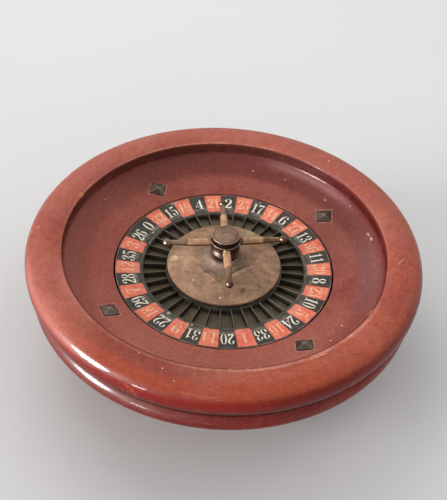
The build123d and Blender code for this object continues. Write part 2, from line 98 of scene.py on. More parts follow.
# Marks on the wood, each as x, y, z and radius. Specks are pale paint, rubs are worn to lighter wood.
RIM_SPECKS = (
    (-37.8, -140.8, 106.7, 0.7), (91.1, 115.9, 106.7, 0.8), (95, 119.5, 106.6, 0.5),
    (-56.1, -127.6, 105.6, 0.5), (-28.7, -150.8, 106.6, 0.5),
    (98.4, -95.3, 104.9, 0.8), (107.2, -86.9, 105.2, 0.5),
)
TRACK_SPECKS = (
    (21.3, 120.7, 84.8, 0.8), (52.1, 110.7, 84.6, 0.7), (89.2, 84.7, 84.9, 0.8), (110.7, 71.9, 90.6, 0.7),
    (-111.7, 60.1, 87, 0.6), (86.9, -84.4, 84.1, 0.9), (96.7, -66.8, 82.6, 0.9), (89.7, -72.2, 81.8, 0.6),
    (71.8, -72.6, 78.1, 0.5), (124.4, 37.3, 89.1, 1), (125.2, 35.5, 89.1, 0.9), (126.9, 29.9, 89.3, 1.1),
    (126.6, 31.6, 89.3, 0.8),
)
RIM_RUBS = (
    (-129, 43.2, 104.5, 2.4), (9.6, -134.6, 104.2, 1.3), (22, -133.2, 104.2, 1.6),
    (31, -131.4, 104.2, 1),
)
# Chips knocked out of the nose, each as x, y, z, size and depth.
RIM_CHIPS = (
    (-61.4, -152.3, 98.6, 2.6, 0.55), (-59.4, -153.6, 96.9, 2.8, 0.7), (-57, -154.8, 94.6, 2.4, 0.6),
    (-63.7, -150.9, 100.4, 1.5, 0.35), (-55.6, -155, 91.4, 1.9, 0.4), (-65, -151.4, 94, 1.2, 0.3),
)
# Scratches across the top, each as its two ends in plan, in millimetres.
TOP_SCRATCHES = (
    ((-160.2, -7.4), (-154.4, -3.2)), ((-158.6, -4), (-155, -2.4)), ((143, -15.6), (148.4, -9.4)),
    ((114.2, -72), (117, -67.4)), ((118, -66.4), (121.2, -62)), ((104, -99), (112, -92.6)),
    ((68, -121.4), (80, -114.6)), ((131.6, -29), (133.4, -25)),
)
# Scratches along the nose, each as radius from the axis, first and last x, all in front of the wheel.
RIM_SCRATCHES = (
    (160.1, -27, -9), (161, -22, 2), (161.9, -14, 6), (162.5, -28, -17), (160.6, -6, 12),
)

# ---- sizes of the wheel head
POCKETS = 37
ZERO_ANGLE = radians(148.43)
STEP = tau / POCKETS
WHEEL_ORDER = (
    0, 32, 15, 19, 4, 21, 2, 25, 17, 34, 6, 27, 13, 36, 11, 30, 8, 23, 10,
    5, 24, 16, 33, 1, 20, 14, 31, 9, 22, 18, 29, 7, 28, 12, 35, 3, 26,
)
POCKET_INNER = 49.9
INNER_BAND = 0.9
POCKET_WALL = 0.6
FRET = 0.6
FRET_ROUNDING = 0.27
FRET_GAPS = (0.12, 0.72)  # from the inner band and from the pocket wall's outside
RING_THICKNESS = 1.5
RING_BORDER = (2.2, 0.25)  # bare strip inside the coloured cells and outside them
CELL_LOOPS = 8  # mesh divisions across one cell
DIGIT_FOOT, DIGIT_HEAD = 76.6, 88.2  # radii between which the numerals stand
DIGIT_WIDTH = 6.7  # a single numeral
PAIR_WIDTH = 11.2  # two numerals together
PAIR_GAP = 0.45
INLAY = 0.05  # paint thickness of the numerals
# Bare spots in the ring's print, each as x, y, z and radius.
RING_CHIPS = (
    (-41.8, -58.2, 72.8, 1.3), (-21.9, -69.2, 72.9, 0.8), (-65.3, 35.9, 73.1, 0.9), (-66.4, 22.6, 72.6, 0.7),
    (25.8, 85.3, 74.8, 0.7), (29.5, 85.6, 74.9, 0.7), (-52.2, 74.7, 75, 0.8), (-49.5, 76.5, 75, 0.6),
)

CONE_COLLAR = (20, 82.5)
CONE_NECK = 13
CONE_WALL = 1.2
CONE_EDGE = 1.4  # height of the upright edge
CONE_RINGS = 24  # mesh divisions down the slope
BARREL_FOOT = 10.6
BARREL_RING = (12.2, 91.8, 95.6)  # reach, lowest and highest point
BARREL_WAIST = 10.9
BARREL_STEP = 0.7
BARREL_LIP = (12.4, 103.8)
CAP_EDGE = (108.6, 109.5)
CAP_NECK = 9.2
CAP_GROOVE = 1.2  # from the cap's edge in to its groove
CAP_GROOVE_CUT = ((0, 0.05), (0.2, -0.1), (0.4, 0.1))  # its section, as way in and height
CAP_DOME = 0.85  # share of the cap's top that is domed
ARM_ANGLES = (10, 96, 187, 276.5)
ARM_HEIGHT = 101.5
ARM_ROOT = (12.7, 13.7, 3.45)  # start, end and radius
ARM_GRIP = (31.5, 3.25)  # end and radius
ARM_TAPER = 3
ARM_NECK = 1.95
ARM_BALL = (49, 3.35)  # centre and radius

DEFLECTOR_RADIUS = 110.4
DEFLECTOR_START = 37.2
DEFLECTOR_TURNS = (-5, -5, 28, 4)
DEFLECTOR_SIDE = 12.5
DEFLECTOR_SEAT = 0.5
DEFLECTOR_EDGE = 1
DEFLECTOR_RISE = 2.9
DEFLECTOR_TIP = 0.9
DEFLECTOR_HOLLOW = 0.12
DEFLECTOR_WEAR = 0.28  # rounding of its ridges
DEFLECTOR_ROWS, DEFLECTOR_COLUMNS = 6, 4  # mesh divisions up a side and along it
RIDGE_ANGLE = radians(14)  # edges of the casting sharper than this are worn

# Folds pressed into the thin cone, each as start and end in plan, half-width and lift.
CONE_FOLDS = (
    ((-19.5, -10.5), (-13, -17.4), 1.5, 0.62), ((-13, -17.4), (-6, -23), 1.4, 0.6),
    ((7.5, -17.5), (15, -11.5), 1.5, -0.7), ((15, -11.5), (22.5, -5.5), 1.5, -0.6),
    ((20, -4), (33, -16), 2.4, 0.3), ((-2, -27), (-4, -46), 3.2, 0.26),
    ((-26, -9), (-42, -12), 3.2, -0.26), ((15, 17), (26, 33), 3.4, 0.3),
)

# Painted light and shade along the folds, over some rub and dirt: first and last fold, shift outwards,
# half-width, strength and colour.
CREASE_PAINT = (
    (0, 2, -1.3, 3, 0.42, (92, 72, 60)), (0, 2, 0.9, 1.8, 0.5, (240, 196, 158)),
    (2, 4, 1.7, 2.6, 0.35, (232, 186, 148)), (2, 4, -0.5, 1.7, 0.6, (78, 58, 46)),
)
CONE_SPECKS = (
    (-24.7, -25.5, 79.4, 0.85), (-1.2, -42.4, 78, 0.8), (26.1, 7, 81.1, 0.65), (28, 1.2, 80.9, 0.65),
)
CONE_STAINS = ((17.3, -32.6, 79.1, 1.5), (15.9, -34.6, 78.7, 1), (18.6, -30.6, 79.5, 0.8))

LARGE_TURN = 288  # mesh divisions round a large turned piece
FINE_TURN = 640  # mesh divisions round the rim, fine enough for its chips
SMALL_TURN = 96
ARM_TURN = 40
ARC_STEP = radians(5)


# ---- outlines
def arc(centre, radius, start, end):
    """Points of an arc from one angle to another, in degrees."""
    sweep = radians(end - start)
    count = max(2, ceil(abs(sweep) / ARC_STEP))
    angles = [radians(start) + sweep * i / count for i in range(count + 1)]
    return [(centre[0] + radius * cos(a), centre[1] + radius * sin(a)) for a in angles]


def angle_to(centre, point):
    """Direction from centre to point, in degrees."""
    return degrees(atan2(point[1] - centre[1], point[0] - centre[0]))


def short_arc(centre, start, end):
    """The shorter arc about centre from start to end."""
    first = angle_to(centre, start)
    sweep = (angle_to(centre, end) - first + 180) % 360 - 180
    return arc(centre, (Vector(start) - Vector(centre)).length, first, first + sweep)


def tangent_arc(start, before, end):
    """The arc that leaves start in line with before and start, and reaches end."""
    along, chord = (Vector(start) - Vector(before)).normalized(), Vector(end) - Vector(start)
    across = Vector((-along.y, along.x))
    return short_arc(Vector(start) + across * chord.length_squared / (2 * chord.dot(across)), start, end)


def arc_through(start, middle, end):
    """The arc through three points."""
    u, v = Vector(middle) - Vector(start), Vector(end) - Vector(start)
    to_centre = Vector((v.y, -v.x)) * u.length_squared - Vector((u.y, -u.x)) * v.length_squared
    return short_arc(Vector(start) + to_centre / (2 * (u.x * v.y - u.y * v.x)), start, end)


def soften(outline, closed=True):
    """Rounds each corner given as (radius, height, rounding)."""
    made = []
    count = len(outline)
    for i, corner in enumerate(outline):
        if len(corner) == 2 or not closed and i in (0, count - 1):
            made.append(tuple(corner[:2]))
            continue
        here = Vector(corner[:2])
        back = Vector(outline[i - 1][:2]) - here
        on = Vector(outline[(i + 1) % count][:2]) - here
        half = back.angle(on) / 2
        cut = min(corner[2] / tan(half), 0.45 * back.length, 0.45 * on.length)
        first, last = here + back.normalized() * cut, here + on.normalized() * cut
        steps = max(4, round(2 * corner[2]))
        for k in range(steps + 1):
            t = k / steps
            point = first.lerp(here, t).lerp(here.lerp(last, t), t)
            made.append((point.x, point.y))
    return made


# ---- meshes
def add_object(name, data):
    """Puts a new object for a mesh, lamp or camera in the scene."""
    made = bpy.data.objects.new(name, data)
    bpy.context.scene.collection.objects.link(made)
    return made


def new_piece(name, body, slot, mesh, finishes, *nodes):
    """Makes a mesh a piece that rides on a body and stands for CAD nodes."""
    piece = add_object(name, mesh)
    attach(piece, body)
    if nodes:
        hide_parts(*nodes)
    for finish in finishes:
        mesh.materials.append(finish)


def finish_mesh(name, work, crease=40):
    """A smooth mesh from a bmesh. Edges sharper than crease degrees stay sharp."""
    bmesh.ops.remove_doubles(work, verts=work.verts, dist=1e-7)
    bmesh.ops.recalc_face_normals(work, faces=work.faces)
    mesh = bpy.data.meshes.new(name)
    work.to_mesh(mesh)
    work.free()
    mesh.shade_smooth()
    mesh.set_sharp_from_angle(angle=radians(crease))
    return mesh


def loft(work, loops, closed=True):
    """Makes the faces between each loop of vertices and the next, and returns them."""
    return [
        work.faces.new((low[k - 1], low[k], high[k], high[k - 1]))
        for low, high in zip(loops, loops[1:]) for k in range(0 if closed else 1, len(low))
    ]


def turn(work, outline, divisions, start=0, place=Matrix()):
    """Turns an outline about the Z of place. One that starts on the axis stays open there."""
    loops = []
    for i in range(divisions):
        angle = start + tau * i / divisions
        cosine, sine = cos(angle) * MM, sin(angle) * MM
        loops.append([work.verts.new(place @ Vector((r * cosine, r * sine, z * MM))) for r, z in outline])
    loft(work, loops + loops[:1], closed=outline[0][0] > 0)


def lathe(name, outline, divisions=LARGE_TURN):
    """A mesh turned about the wheel's axis."""
    work = bmesh.new()
    turn(work, soften(outline, closed=outline[0][0] > 0), divisions)
    return finish_mesh(name, work)


def lathe_piece(name, body, slot, outline, finish, node, divisions=LARGE_TURN):
    """A turned piece of one material that stands for one CAD node."""
    new_piece(name, body, slot, lathe(name, outline, divisions), [finish], node)


def flat_ring(inner, outer, low, high, roundings=(0, 0, 0, 0)):
    """A rectangular outline, whose corners start inside at the bottom."""
    corners = ((inner, low), (outer, low), (outer, high), (inner, high))
    return [(*corner, size) if size else corner for corner, size in zip(corners, roundings)]


def reshape(mesh, move):
    """Moves each vertex by what move gives for its place, in millimetres."""
    for vertex in mesh.vertices:
        vertex.co += move(vertex.co / MM) * MM
    mesh.update()


# ---- shader nodes
def add_node(tree, kind, inputs=(), **settings):
    """Adds a shader node, whose inputs are outputs to link or values. Returns its outputs."""
    node = tree.nodes.new("ShaderNode" + kind)
    for setting, value in settings.items():
        setattr(node, setting, value)
    for key, value in (inputs if isinstance(inputs, dict) else dict(enumerate(inputs))).items():
        if isinstance(value, bpy.types.NodeSocket):
            tree.links.new(value, node.inputs[key])
        else:
            node.inputs[key].default_value = value
    return node.outputs


def linear(colour):
    """A display colour, 0 to 255, as Blender's linear one."""
    parts = [c / 255 / 12.92 if c <= 10 else ((c / 255 + 0.055) / 1.055) ** 2.4 for c in colour]
    return (*parts, 1)


class Finish:
    """One procedural material, built up in layers. Lengths are in millimetres.

    colour, rough and relief are what the layers made so far. Colours are red, green, blue, 0 to 255.
    """

    def __init__(self, name, **sockets):
        self.material = bpy.data.materials.new(name)
        self.material.use_nodes = True
        self.tree = self.material.node_tree
        self.shader = self.tree.nodes["Principled BSDF"].inputs
        for socket, value in sockets.items():
            self.shader[socket.replace("_", " ")].default_value = value
        self.place = self.vector("DIVIDE", self.node("TexCoord")["Object"], (MM, MM, MM))
        self.where = dict(zip("xyz", self.node("SeparateXYZ", [self.place])))
        self.where["away"] = self.vector("LENGTH", self.vector("MULTIPLY", self.place, (1, 1, 0)), output=1)
        self.colour = self.rough = self.relief = None

    def node(self, kind, inputs=(), **settings):
        return add_node(self.tree, kind, inputs, **settings)

    def calc(self, operation, *values, clamp=False):
        return self.node("Math", values, operation=operation, use_clamp=clamp)[0]

    def vector(self, operation, *values, output=0):
        return self.node("VectorMath", values, operation=operation)[output]

    def step(self, value, start, end, low=0, high=1):
        """Goes smoothly from low to high while value goes from start to end."""
        return self.node("MapRange", (value, start, end, low, high), interpolation_type="SMOOTHSTEP")[0]

    def band(self, value, low, high, soft):
        """1 where value lies between low and high, with soft edges."""
        return self.mask(self.step(value, low - soft, low + soft),
                         self.step(value, high - soft, high + soft, 1, 0))

    def mask(self, *factors, **zones):
        """The product of numbers, outputs and zones.

        A zone is a range of x, y, z or away, the distance from the axis: (start, end) or
        (start, end, low, high) for a step and (low, high, soft) for a band.
        """
        shapes = [(self.band if len(numbers) == 3 else self.step)(self.where[axis], *numbers)
                  for axis, numbers in zones.items()]
        product, *others = [*factors, *shapes]
        for factor in others:
            product = self.calc("MULTIPLY", product, factor)
        return product

    def paint(self, colour, *factors, **zones):
        """Lays a colour over the one so far, as strongly as the mask says."""
        self.colour = self.mix(self.mask(*factors, **zones), self.colour, colour)

    def dots(self, colour, strength, spots):
        """Paints round marks, each x, y, z and radius."""
        for *centre, size in spots:
            self.paint(colour, strength, self.spot(centre, size))

    def noise(self, size, detail=3, roughness=0.55, stretch=(1, 1, 1), shift=(0, 0, 0)):
        """Noise from 0 to 1 whose lumps are about size across."""
        scaled = self.vector("MULTIPLY", self.place, tuple(s / size for s in stretch))
        inputs = {"Scale": 1, "Detail": detail, "Roughness": roughness}
        return self.node("TexNoise", {"Vector": self.vector("ADD", scaled, shift), **inputs})[0]

    def patches(self, noise, start, end, low=0, high=1):
        """A step across the noise that these arguments make."""
        return self.step(self.noise(*noise[:-1], shift=noise[-1]), start, end, low, high)

    def specks(self, spacing, size, share, shift=(0, 0, 0)):
        """1 on scattered specks up to size across, in a share of the cells of a grid."""
        moved = self.vector("ADD", self.place, shift)
        grid = self.node("TexVoronoi", {"Vector": moved, "Scale": 1 / spacing})
        pick = self.node("SeparateColor", [grid["Color"]])
        inside = self.calc("LESS_THAN", grid["Distance"], self.calc("MULTIPLY", pick[1], size / spacing / 2))
        return self.mask(inside, self.calc("LESS_THAN", pick[0], share))

    def spot(self, centre, radius, soft=0.3):
        """1 inside a ball about centre, fading out over its edge."""
        away = self.vector("DISTANCE", self.place, tuple(centre), output=1)
        return self.step(away, radius * (1 - soft), radius * (1 + soft), 1, 0)

    def square(self, place):
        """Distances from the middle of a square along its two sides."""
        past = self.vector("SUBTRACT", self.place, tuple(place.translation / MM))
        sides = (self.vector("DOT_PRODUCT", past, tuple(place.col[k].xyz), output=1) for k in (0, 1))
        return [self.calc("ABSOLUTE", side) for side in sides]

    def line(self, first, last, width, wander):
        """1 on the stretch between two places in plan, fading out to its sides."""
        start, along = Vector((*first, 0)), Vector((*(Vector(last) - Vector(first)), 0))
        bent = self.calc("MULTIPLY", self.noise(5, 2), wander)
        flat = self.vector("MULTIPLY", self.vector("ADD", self.place, bent), (1, 1, 0))
        past = self.vector("SUBTRACT", flat, tuple(start))
        share = self.calc("DIVIDE", self.vector("DOT_PRODUCT", past, tuple(along), output=1),
                          along.length_squared, clamp=True)
        aside = self.vector("SUBTRACT", past, self.vector("MULTIPLY", share, tuple(along)))
        return self.step(self.vector("LENGTH", aside, output=1), width * 0.3, width, 1, 0)

    def grain(self, size, amount):
        """Lightens and darkens the colour in patches."""
        patches = self.patches((size, 3, 0.7, (4, 9, 6)), 0.34, 0.66, 1 - amount, 1 + amount)
        self.colour = self.vector("MULTIPLY", self.colour, patches)

    def mix(self, factor, a, b):
        """A colour that goes from a to b with factor."""
        a, b = (linear(colour) if isinstance(colour, tuple) else colour for colour in (a, b))
        return self.node("Mix", {0: factor, 6: a, 7: b}, data_type="RGBA")[2]

    def done(self, depth=0):
        """The material, with its colour, gloss and relief linked."""
        made = {"Base Color": self.colour, "Roughness": self.rough}
        if depth:
            relief = {"Strength": 1, "Distance": depth * MM, "Height": self.relief}
            made["Normal"] = self.node("Bump", relief)[0]
        for socket, value in made.items():
            if value:
                self.tree.links.new(value, self.shader[socket])
        return self.material


# ---- wood materials
STAIN_LIGHT = (184, 94, 70)
STAIN = (168, 80, 62)
STAIN_DEEP = (120, 46, 36)
NOSE_RED = (154, 24, 13)
HAZE = (184, 112, 98)
WORN = (206, 132, 96)
PALE = (212, 124, 100)
DUST = (222, 190, 170)
# Dark colour for painted shade: in the groove under the nose and round the deflectors' feet.
PAINTED_SHADE = (48, 22, 18)


def stained_wood(name, light=STAIN_LIGHT, body=STAIN, deep=STAIN_DEEP, haze=0.4, gloss=0.36, coat_rough=0.05):
    """Red-brown stained wood under old polish, mottled, with open pores and hazy patches."""
    wood = Finish(name, Coat_Weight=0.23, Coat_Roughness=coat_rough, Specular_IOR_Level=0.13)
    mottle = wood.noise(7.5, 4, 0.65, shift=(3, 1, 7))
    pores = wood.noise(1.1, 2, 0.5, stretch=(0.22, 1, 1), shift=(1, 5, 2))
    cloudy = wood.patches((30, 4, 0.6, (9, 4, 1)), 0.42, 0.72, 0, haze)
    wood.colour = wood.mix(wood.step(wood.noise(60, 2), 0.36, 0.66), body, light)
    wood.paint(deep, wood.step(mottle, 0.42, 0.72, 0, 0.34))
    wood.paint(light, wood.patches((2.8, 3, 0.6, (8, 2, 4)), 0.52, 0.7, 0, 0.4))
    wood.paint(deep, wood.step(pores, 0.52, 0.72, 0, 0.36))
    wood.paint(HAZE, cloudy)
    sheen = wood.step(mottle, 0.35, 0.7, gloss - 0.05, gloss + 0.06)
    wood.rough = wood.calc("MULTIPLY_ADD", cloudy, 0.2, sheen)
    wood.relief = wood.calc("MULTIPLY_ADD", pores, 0.4, mottle)
    return wood


def weather(wood, amount=0.12):
    """Fine mottle, faint scratches and specks of dust, over everything else."""
    wood.grain(1.5, amount)
    wood.grain(5, amount / 2)
    for stretch in ((0.04, 1, 1), (1, 0.05, 1)):
        scratches = wood.noise(1.2, 1, 0.5, stretch=stretch, shift=(3, 3, 3))
        wood.paint(PALE, wood.step(scratches, 0.69, 0.77, 0, 0.35))
    wood.paint(DUST, 0.4, wood.specks(8, 1, 0.4, shift=(10, 20, 30)))


def rim_wood():
    """The rim: a painted sheen on top, deep red under the nose with painted shade and a painted window glow
    there, with rubbed edges and pale specks.
    """
    wood = stained_wood("rim_wood")
    # The top: a painted sheen to the left and at the far side, and painted shade at the front: darker at the
    # front left, deeper red over the nose.
    wood.paint((196, 112, 100), 0.12, x=(50, -150), away=(135, 155))
    wood.paint((200, 134, 122), y=(-50, 50, 0, 0.2))
    wood.paint((128, 60, 50), 0.35, x=(-120, -20, 30), y=(-70, -110), away=(156, 150))
    wood.paint((176, 72, 46), 0.5, y=(-90, -140), away=(146, 156))
    # The nose: red, with a painted glow of the window at the left, painted shade below and to the right, and
    # a painted reddish glow along the lip at the bottom.
    wood.paint(NOSE_RED, 0.92, z=(104.5, 99))
    wood.paint((236, 150, 134), 0.55, x=(-165, -100, 20), y=(-20, -60), z=(98.5, 106, 3))
    wood.paint((60, 6, 4), 0.9, z=(97, 86))
    wood.paint((168, 56, 38), 0.7, x=(-80, -20), z=(89, 86))
    wood.paint((70, 8, 5), 0.4, x=(0, 90), z=(90.5, 102.5, 1.5))
    # The inner wall and its edge: painted shade on the wall, lighter to the right; a pale edge at the back,
    # worn and painted as a highlight; rubbed at the front, with a dark line along the front of the edge.
    wall = wood.mix(wood.mask(x=(30, 80)), (72, 38, 30), (118, 38, 32))
    wood.paint(wall, 0.75, away=(135.3, 134.7))
    patchy = wood.patches((10, 4, 0.6, (4, 4, 4)), 0.36, 0.6, 0.15, 0.6)
    right = wood.mask(x=(20, 80, 1, 0.4))
    # Painted highlight over wear along the edge at the back, dimmer to the sides.
    wood.paint((214, 150, 126), patchy, right, x=(-110, -50, 0.4, 1), y=(-60, 20),
               away=(135, 136.4, 0.4))
    wood.paint((226, 160, 138), patchy, x=(-60, 40, 0.4, 1), y=(-50, -100), away=(136.3, 139, 1.2))
    wood.paint((84, 20, 15), 0.85, y=(-20, -60), away=(136.2, 135.5))
    raw = wood.patches((1.6, 3, 0.6, (2, 2, 2)), 0.4, 0.6)
    for *centre, size, _ in RIM_CHIPS:
        wood.paint((214, 92, 72), 0.7, raw, wood.spot(centre, size * 1.1, 0.25))
    broken = wood.patches((9, 3, 0.6, (6, 3, 1)), 0.38, 0.56)
    for line, first, last in RIM_SCRATCHES:
        wood.paint((236, 140, 104), 0.6, broken, x=(first, last, 1.5), y=(0, -100),
                   away=(line - 0.1, line + 0.1, 0.1))
    for first, last in TOP_SCRATCHES:
        wood.paint((238, 176, 152), 0.65, broken, wood.line(first, last, 0.7, 1.2))
    wood.dots(WORN, 0.8, RIM_RUBS)
    wood.dots(DUST, 0.9, RIM_SPECKS)
    wood.paint(DUST, 0.5, wood.specks(22, 1.3, 0.35))
    weather(wood)
    return wood.done(0.05)


def moulding_wood():
    """The bead under the rim: dark red, with a painted sheen on its top at the left and painted shade in the
    groove.
    """
    wood = stained_wood("moulding_wood", (150, 36, 22), (132, 25, 16), (84, 11, 8), 0.12, 0.34, 0.12)
    # Painted sheen on the bead's top, stronger to the left.
    wood.paint((158, 96, 88), x=(20, -70, 0.25, 0.75), z=(70, 76))
    # Painted shade in the groove under the nose.
    wood.paint(PAINTED_SHADE, z=(77.6, 79))
    wood.paint(DUST, 0.5, wood.specks(15, 1.4, 0.3, shift=(300, 100, 200)))
    weather(wood, 0.18)
    return wood.done(0.05)


def track_wood():
    """The track and apron: painted shade, dull purple-brown, in the hollow, and redder on the apron."""
    wood = stained_wood("track_wood", (160, 80, 68), (148, 70, 60), (104, 44, 40), 0.25, 0.36)
    # Painted shade in the hollow, weaker at the front, painted light on the front of the apron, and a dull
    # cloud over the outer track that is partly painted sheen, weaker at the front.
    wood.paint((120, 60, 54), 0.8, y=(-90, -20, 0.2, 1), away=(109.5, 119))
    wood.paint((190, 112, 94), 0.55, y=(-20, -100), away=(126, 112))
    wood.paint((136, 80, 76), 0.7, wood.noise(50, 3, 0.5, shift=(5, 5, 5)), y=(-80, -20, 0.4, 1),
               away=(121, 130))
    # The right: a painted sheen over the hollow and the apron, a painted glow at the far side and painted
    # shade on the wall.
    wood.paint((172, 118, 114), 0.3, x=(70, 110), y=(-40, 30, 30), away=(114, 131, 4))
    wood.paint((170, 138, 118), 0.1, x=(-20, 50), y=(-30, 30), away=(118, 110))
    wood.paint((206, 150, 150), 0.45, x=(20, 60), y=(60, 90), away=(129, 134, 3))
    wood.paint((130, 38, 32), 0.6, x=(30, 80), away=(132.5, 134))
    # The front is lighter, the left is painted lighter where the light falls, and the lip above the wheel
    # head is worn lighter.
    wood.paint((216, 134, 108), 0.35, y=(-80, -105), away=(114, 120))
    wood.paint((184, 108, 90), 0.3, x=(20, -60), y=(110, 60, 0.3, 1))
    wood.paint(HAZE, x=(20, -50, 0.15, 0.6), away=(95.1, 94.6))
    half = DEFLECTOR_SIDE / 2
    patchy = wood.patches((6, 3, 0.6, (4, 4, 2)), 0.38, 0.6, 0.08, 0.62)
    for place in deflector_places():
        span = wood.calc("MAXIMUM", *wood.square(place))
        wood.paint((196, 158, 144), patchy, wood.band(span, half + 0.5, half + 1.4, 0.5))
        # Painted shadow round each deflector's foot.
        wood.paint(PAINTED_SHADE, 0.8, wood.band(span, half - 0.6, half + 0.4, 0.2))
    wood.dots(DUST, 0.8, TRACK_SPECKS)
    wood.paint(DUST, 0.5, wood.specks(16, 1.4, 0.35, shift=(100, 200, 50)))
    weather(wood, 0.13)
    return wood.done(0.04)


def pedestal_wood():
    wood = stained_wood("pedestal_wood", (144, 50, 36), (126, 38, 28), (82, 20, 16), 0.2, 0.36)
    weather(wood)
    return wood.done(0.06)


def plain_board():
    """Unpolished board under the foot, with straight grain along X."""
    board = Finish("plain_board")
    board.relief = board.noise(12, 5, 0.6, stretch=(0.08, 1.6, 1))
    rings = board.noise(60, 3, 0.5, stretch=(0.15, 2.2, 1), shift=(4, 2, 0))
    board.colour = board.mix(board.step(rings, 0.35, 0.65), (150, 112, 76), (112, 78, 50))
    board.paint((78, 52, 34), board.step(board.relief, 0.5, 0.8, 0, 0.5))
    board.paint((90, 70, 54), board.patches((30, 4, 0.55, (7, 7, 7)), 0.55, 0.8, 0, 0.4))
    board.rough = board.step(board.relief, 0.2, 0.8, 0.65, 0.85)
    return board.done(0.2)


def black_paint(name="black_paint", body=(66, 58, 44), dusty=(108, 98, 80)):
    """Thin black paint on the wheel head's wood, dusty and rubbed grey."""
    black = Finish(name)
    cloud = black.noise(10, 5, 0.65)
    black.colour = black.mix(black.step(cloud, 0.4, 0.72, 0, 0.8), body, dusty)
    black.paint((150, 140, 120), 0.5, black.specks(5, 0.7, 0.3))
    black.rough = black.step(cloud, 0.3, 0.7, 0.45, 0.75)
    black.relief = black.noise(1.2, 4, 0.6)
    return black.done(0.08)


def green_felt():
    """Dark green felt: short matted fibres, rubbed on its underside."""
    felt = Finish("felt", Sheen_Weight=0.6, Sheen_Roughness=0.5)
    felt.relief = felt.noise(0.7, 5, 0.7)
    felt.colour = felt.mix(felt.step(felt.relief, 0.3, 0.7), (30, 52, 36), (52, 78, 56))
    felt.paint((96, 104, 84), felt.patches((6, 4, 0.6, (2, 3, 4)), 0.6, 0.8, 0, 0.5))
    felt.rough = felt.step(felt.relief, 0.2, 0.8, 0.8, 0.98)
    return felt.done(0.4)


# ---- metal materials
def old_metal(name, bright, body, dark, worn=0.5, gloss=0.34, **sockets):
    """Metal dulled unevenly with age: cloudy, spotted and rubbed bright in patches."""
    metal = Finish(name, **{"Metallic": 0.6, **sockets})
    cloud = metal.step(metal.noise(11, 5, 0.62), 0.32, 0.7)
    spots = metal.patches((2.5, 4, 0.7, (6, 1, 3)), 0.52, 0.72)
    metal.colour = metal.mix(cloud, dark, body)
    metal.paint(bright, metal.patches((20, 3, 0.6, (2, 8, 5)), 0.4, 0.7, 0, worn))
    metal.paint(dark, 0.55, spots)
    metal.grain(1.3, 0.1)
    metal.rough = metal.calc("MULTIPLY_ADD", spots, 0.12, metal.step(cloud, 0, 1, gloss + 0.16, gloss))
    metal.relief = metal.noise(1.6, 4, 0.6)
    return metal


def cone_brass():
    """The cone: brown brass, mottled, painted lighter at the front left where the light falls, painted greyer
    round the turret as its reflection and shade, with painted light and shade along the folds and a few pale
    blotches.
    """
    brass = old_metal("cone_brass", (214, 168, 136), (186, 146, 116), (156, 122, 96), 0.5, 0.42,
                      Metallic=0.35)
    # Painted light at the front left.
    brass.paint((226, 178, 146), 0.5, x=(0, -40), y=(20, -10))
    # Painted grey reflection and shade of the turret round its foot.
    cloud = brass.noise(16, 3, 0.6, shift=(5, 9, 2))
    ragged = brass.calc("MULTIPLY_ADD", cloud, -16, brass.where["away"])
    near = brass.step(ragged, 20, 8)
    brass.paint((134, 120, 106), 0.6, near)
    brass.rough = brass.calc("MULTIPLY_ADD", near, 0.3, brass.rough)
    brass.paint((112, 88, 70), 0.45, brass.patches((7, 4, 0.6, (1, 7, 3)), 0.56, 0.7))
    # Painted light and shade along the folds, over some rub and dirt.
    for low, high, shift, half, strength, colour in CREASE_PAINT:
        for first, last, _, _ in CONE_FOLDS[low:high]:
            first, last = Vector(first), Vector(last)
            outward = (first + last).normalized() * shift
            brass.paint(colour, strength, brass.line(first + outward, last + outward, half, 2.5))
    brass.dots((244, 214, 160), 0.85, ((-43.4, 0.3, 77.9, 3.3), (-41.3, -1, 78.3, 1.8)))
    brass.paint((196, 184, 138), 0.6, brass.spot((20, 40, 77.5), 7, 0.6), brass.step(cloud, 0.35, 0.6))
    brass.paint((236, 226, 208), 0.5, brass.specks(12, 1.2, 0.25, shift=(30, 10, 20)))
    brass.dots((250, 244, 232), 0.9, CONE_SPECKS)
    brass.dots((70, 54, 44), 0.7, CONE_STAINS)
    brass.grain(7, 0.16)
    brass.grain(20, 0.12)
    return brass.done(0.05)


def turret_bronze():
    """The barrel: dark in its hollows, worn to brown where it stands proud, with painted highlight lines
    along its proud edges.
    """
    bronze = old_metal("turret_bronze", (166, 140, 126), (134, 110, 96), (100, 78, 66), 0.3, 0.29)
    bronze.paint((54, 40, 32), 0.85, away=(12.1, 11.7))
    # Painted highlight lines on the proud edges, over their wear.
    bronze.paint((226, 200, 178), 0.6, away=(12.15, 12.35))
    return bronze.done(0.03)


def cap_bronze():
    """The cap: brown with a smooth worn top, a bright rubbed edge and a bright centre dot."""
    bronze = old_metal("cap_bronze", (206, 168, 142), (158, 124, 102), (112, 86, 72), 0.5, 0.28)
    top = CAP_EDGE[1]
    bronze.paint((54, 38, 31), 0.9, z=(top - 0.4, top - 0.1, 1, 0))
    bronze.paint((70, 52, 42), 0.7, away=(cap_radius - 1.8, cap_radius - CAP_GROOVE, 0.1))
    bronze.paint((214, 184, 160), 0.3, away=(cap_radius - 1.1, cap_radius - 0.8), z=(top - 0.4, top - 0.1))
    bronze.paint((250, 226, 200), away=(0.7, 0.4))
    return bronze.done(0.03)


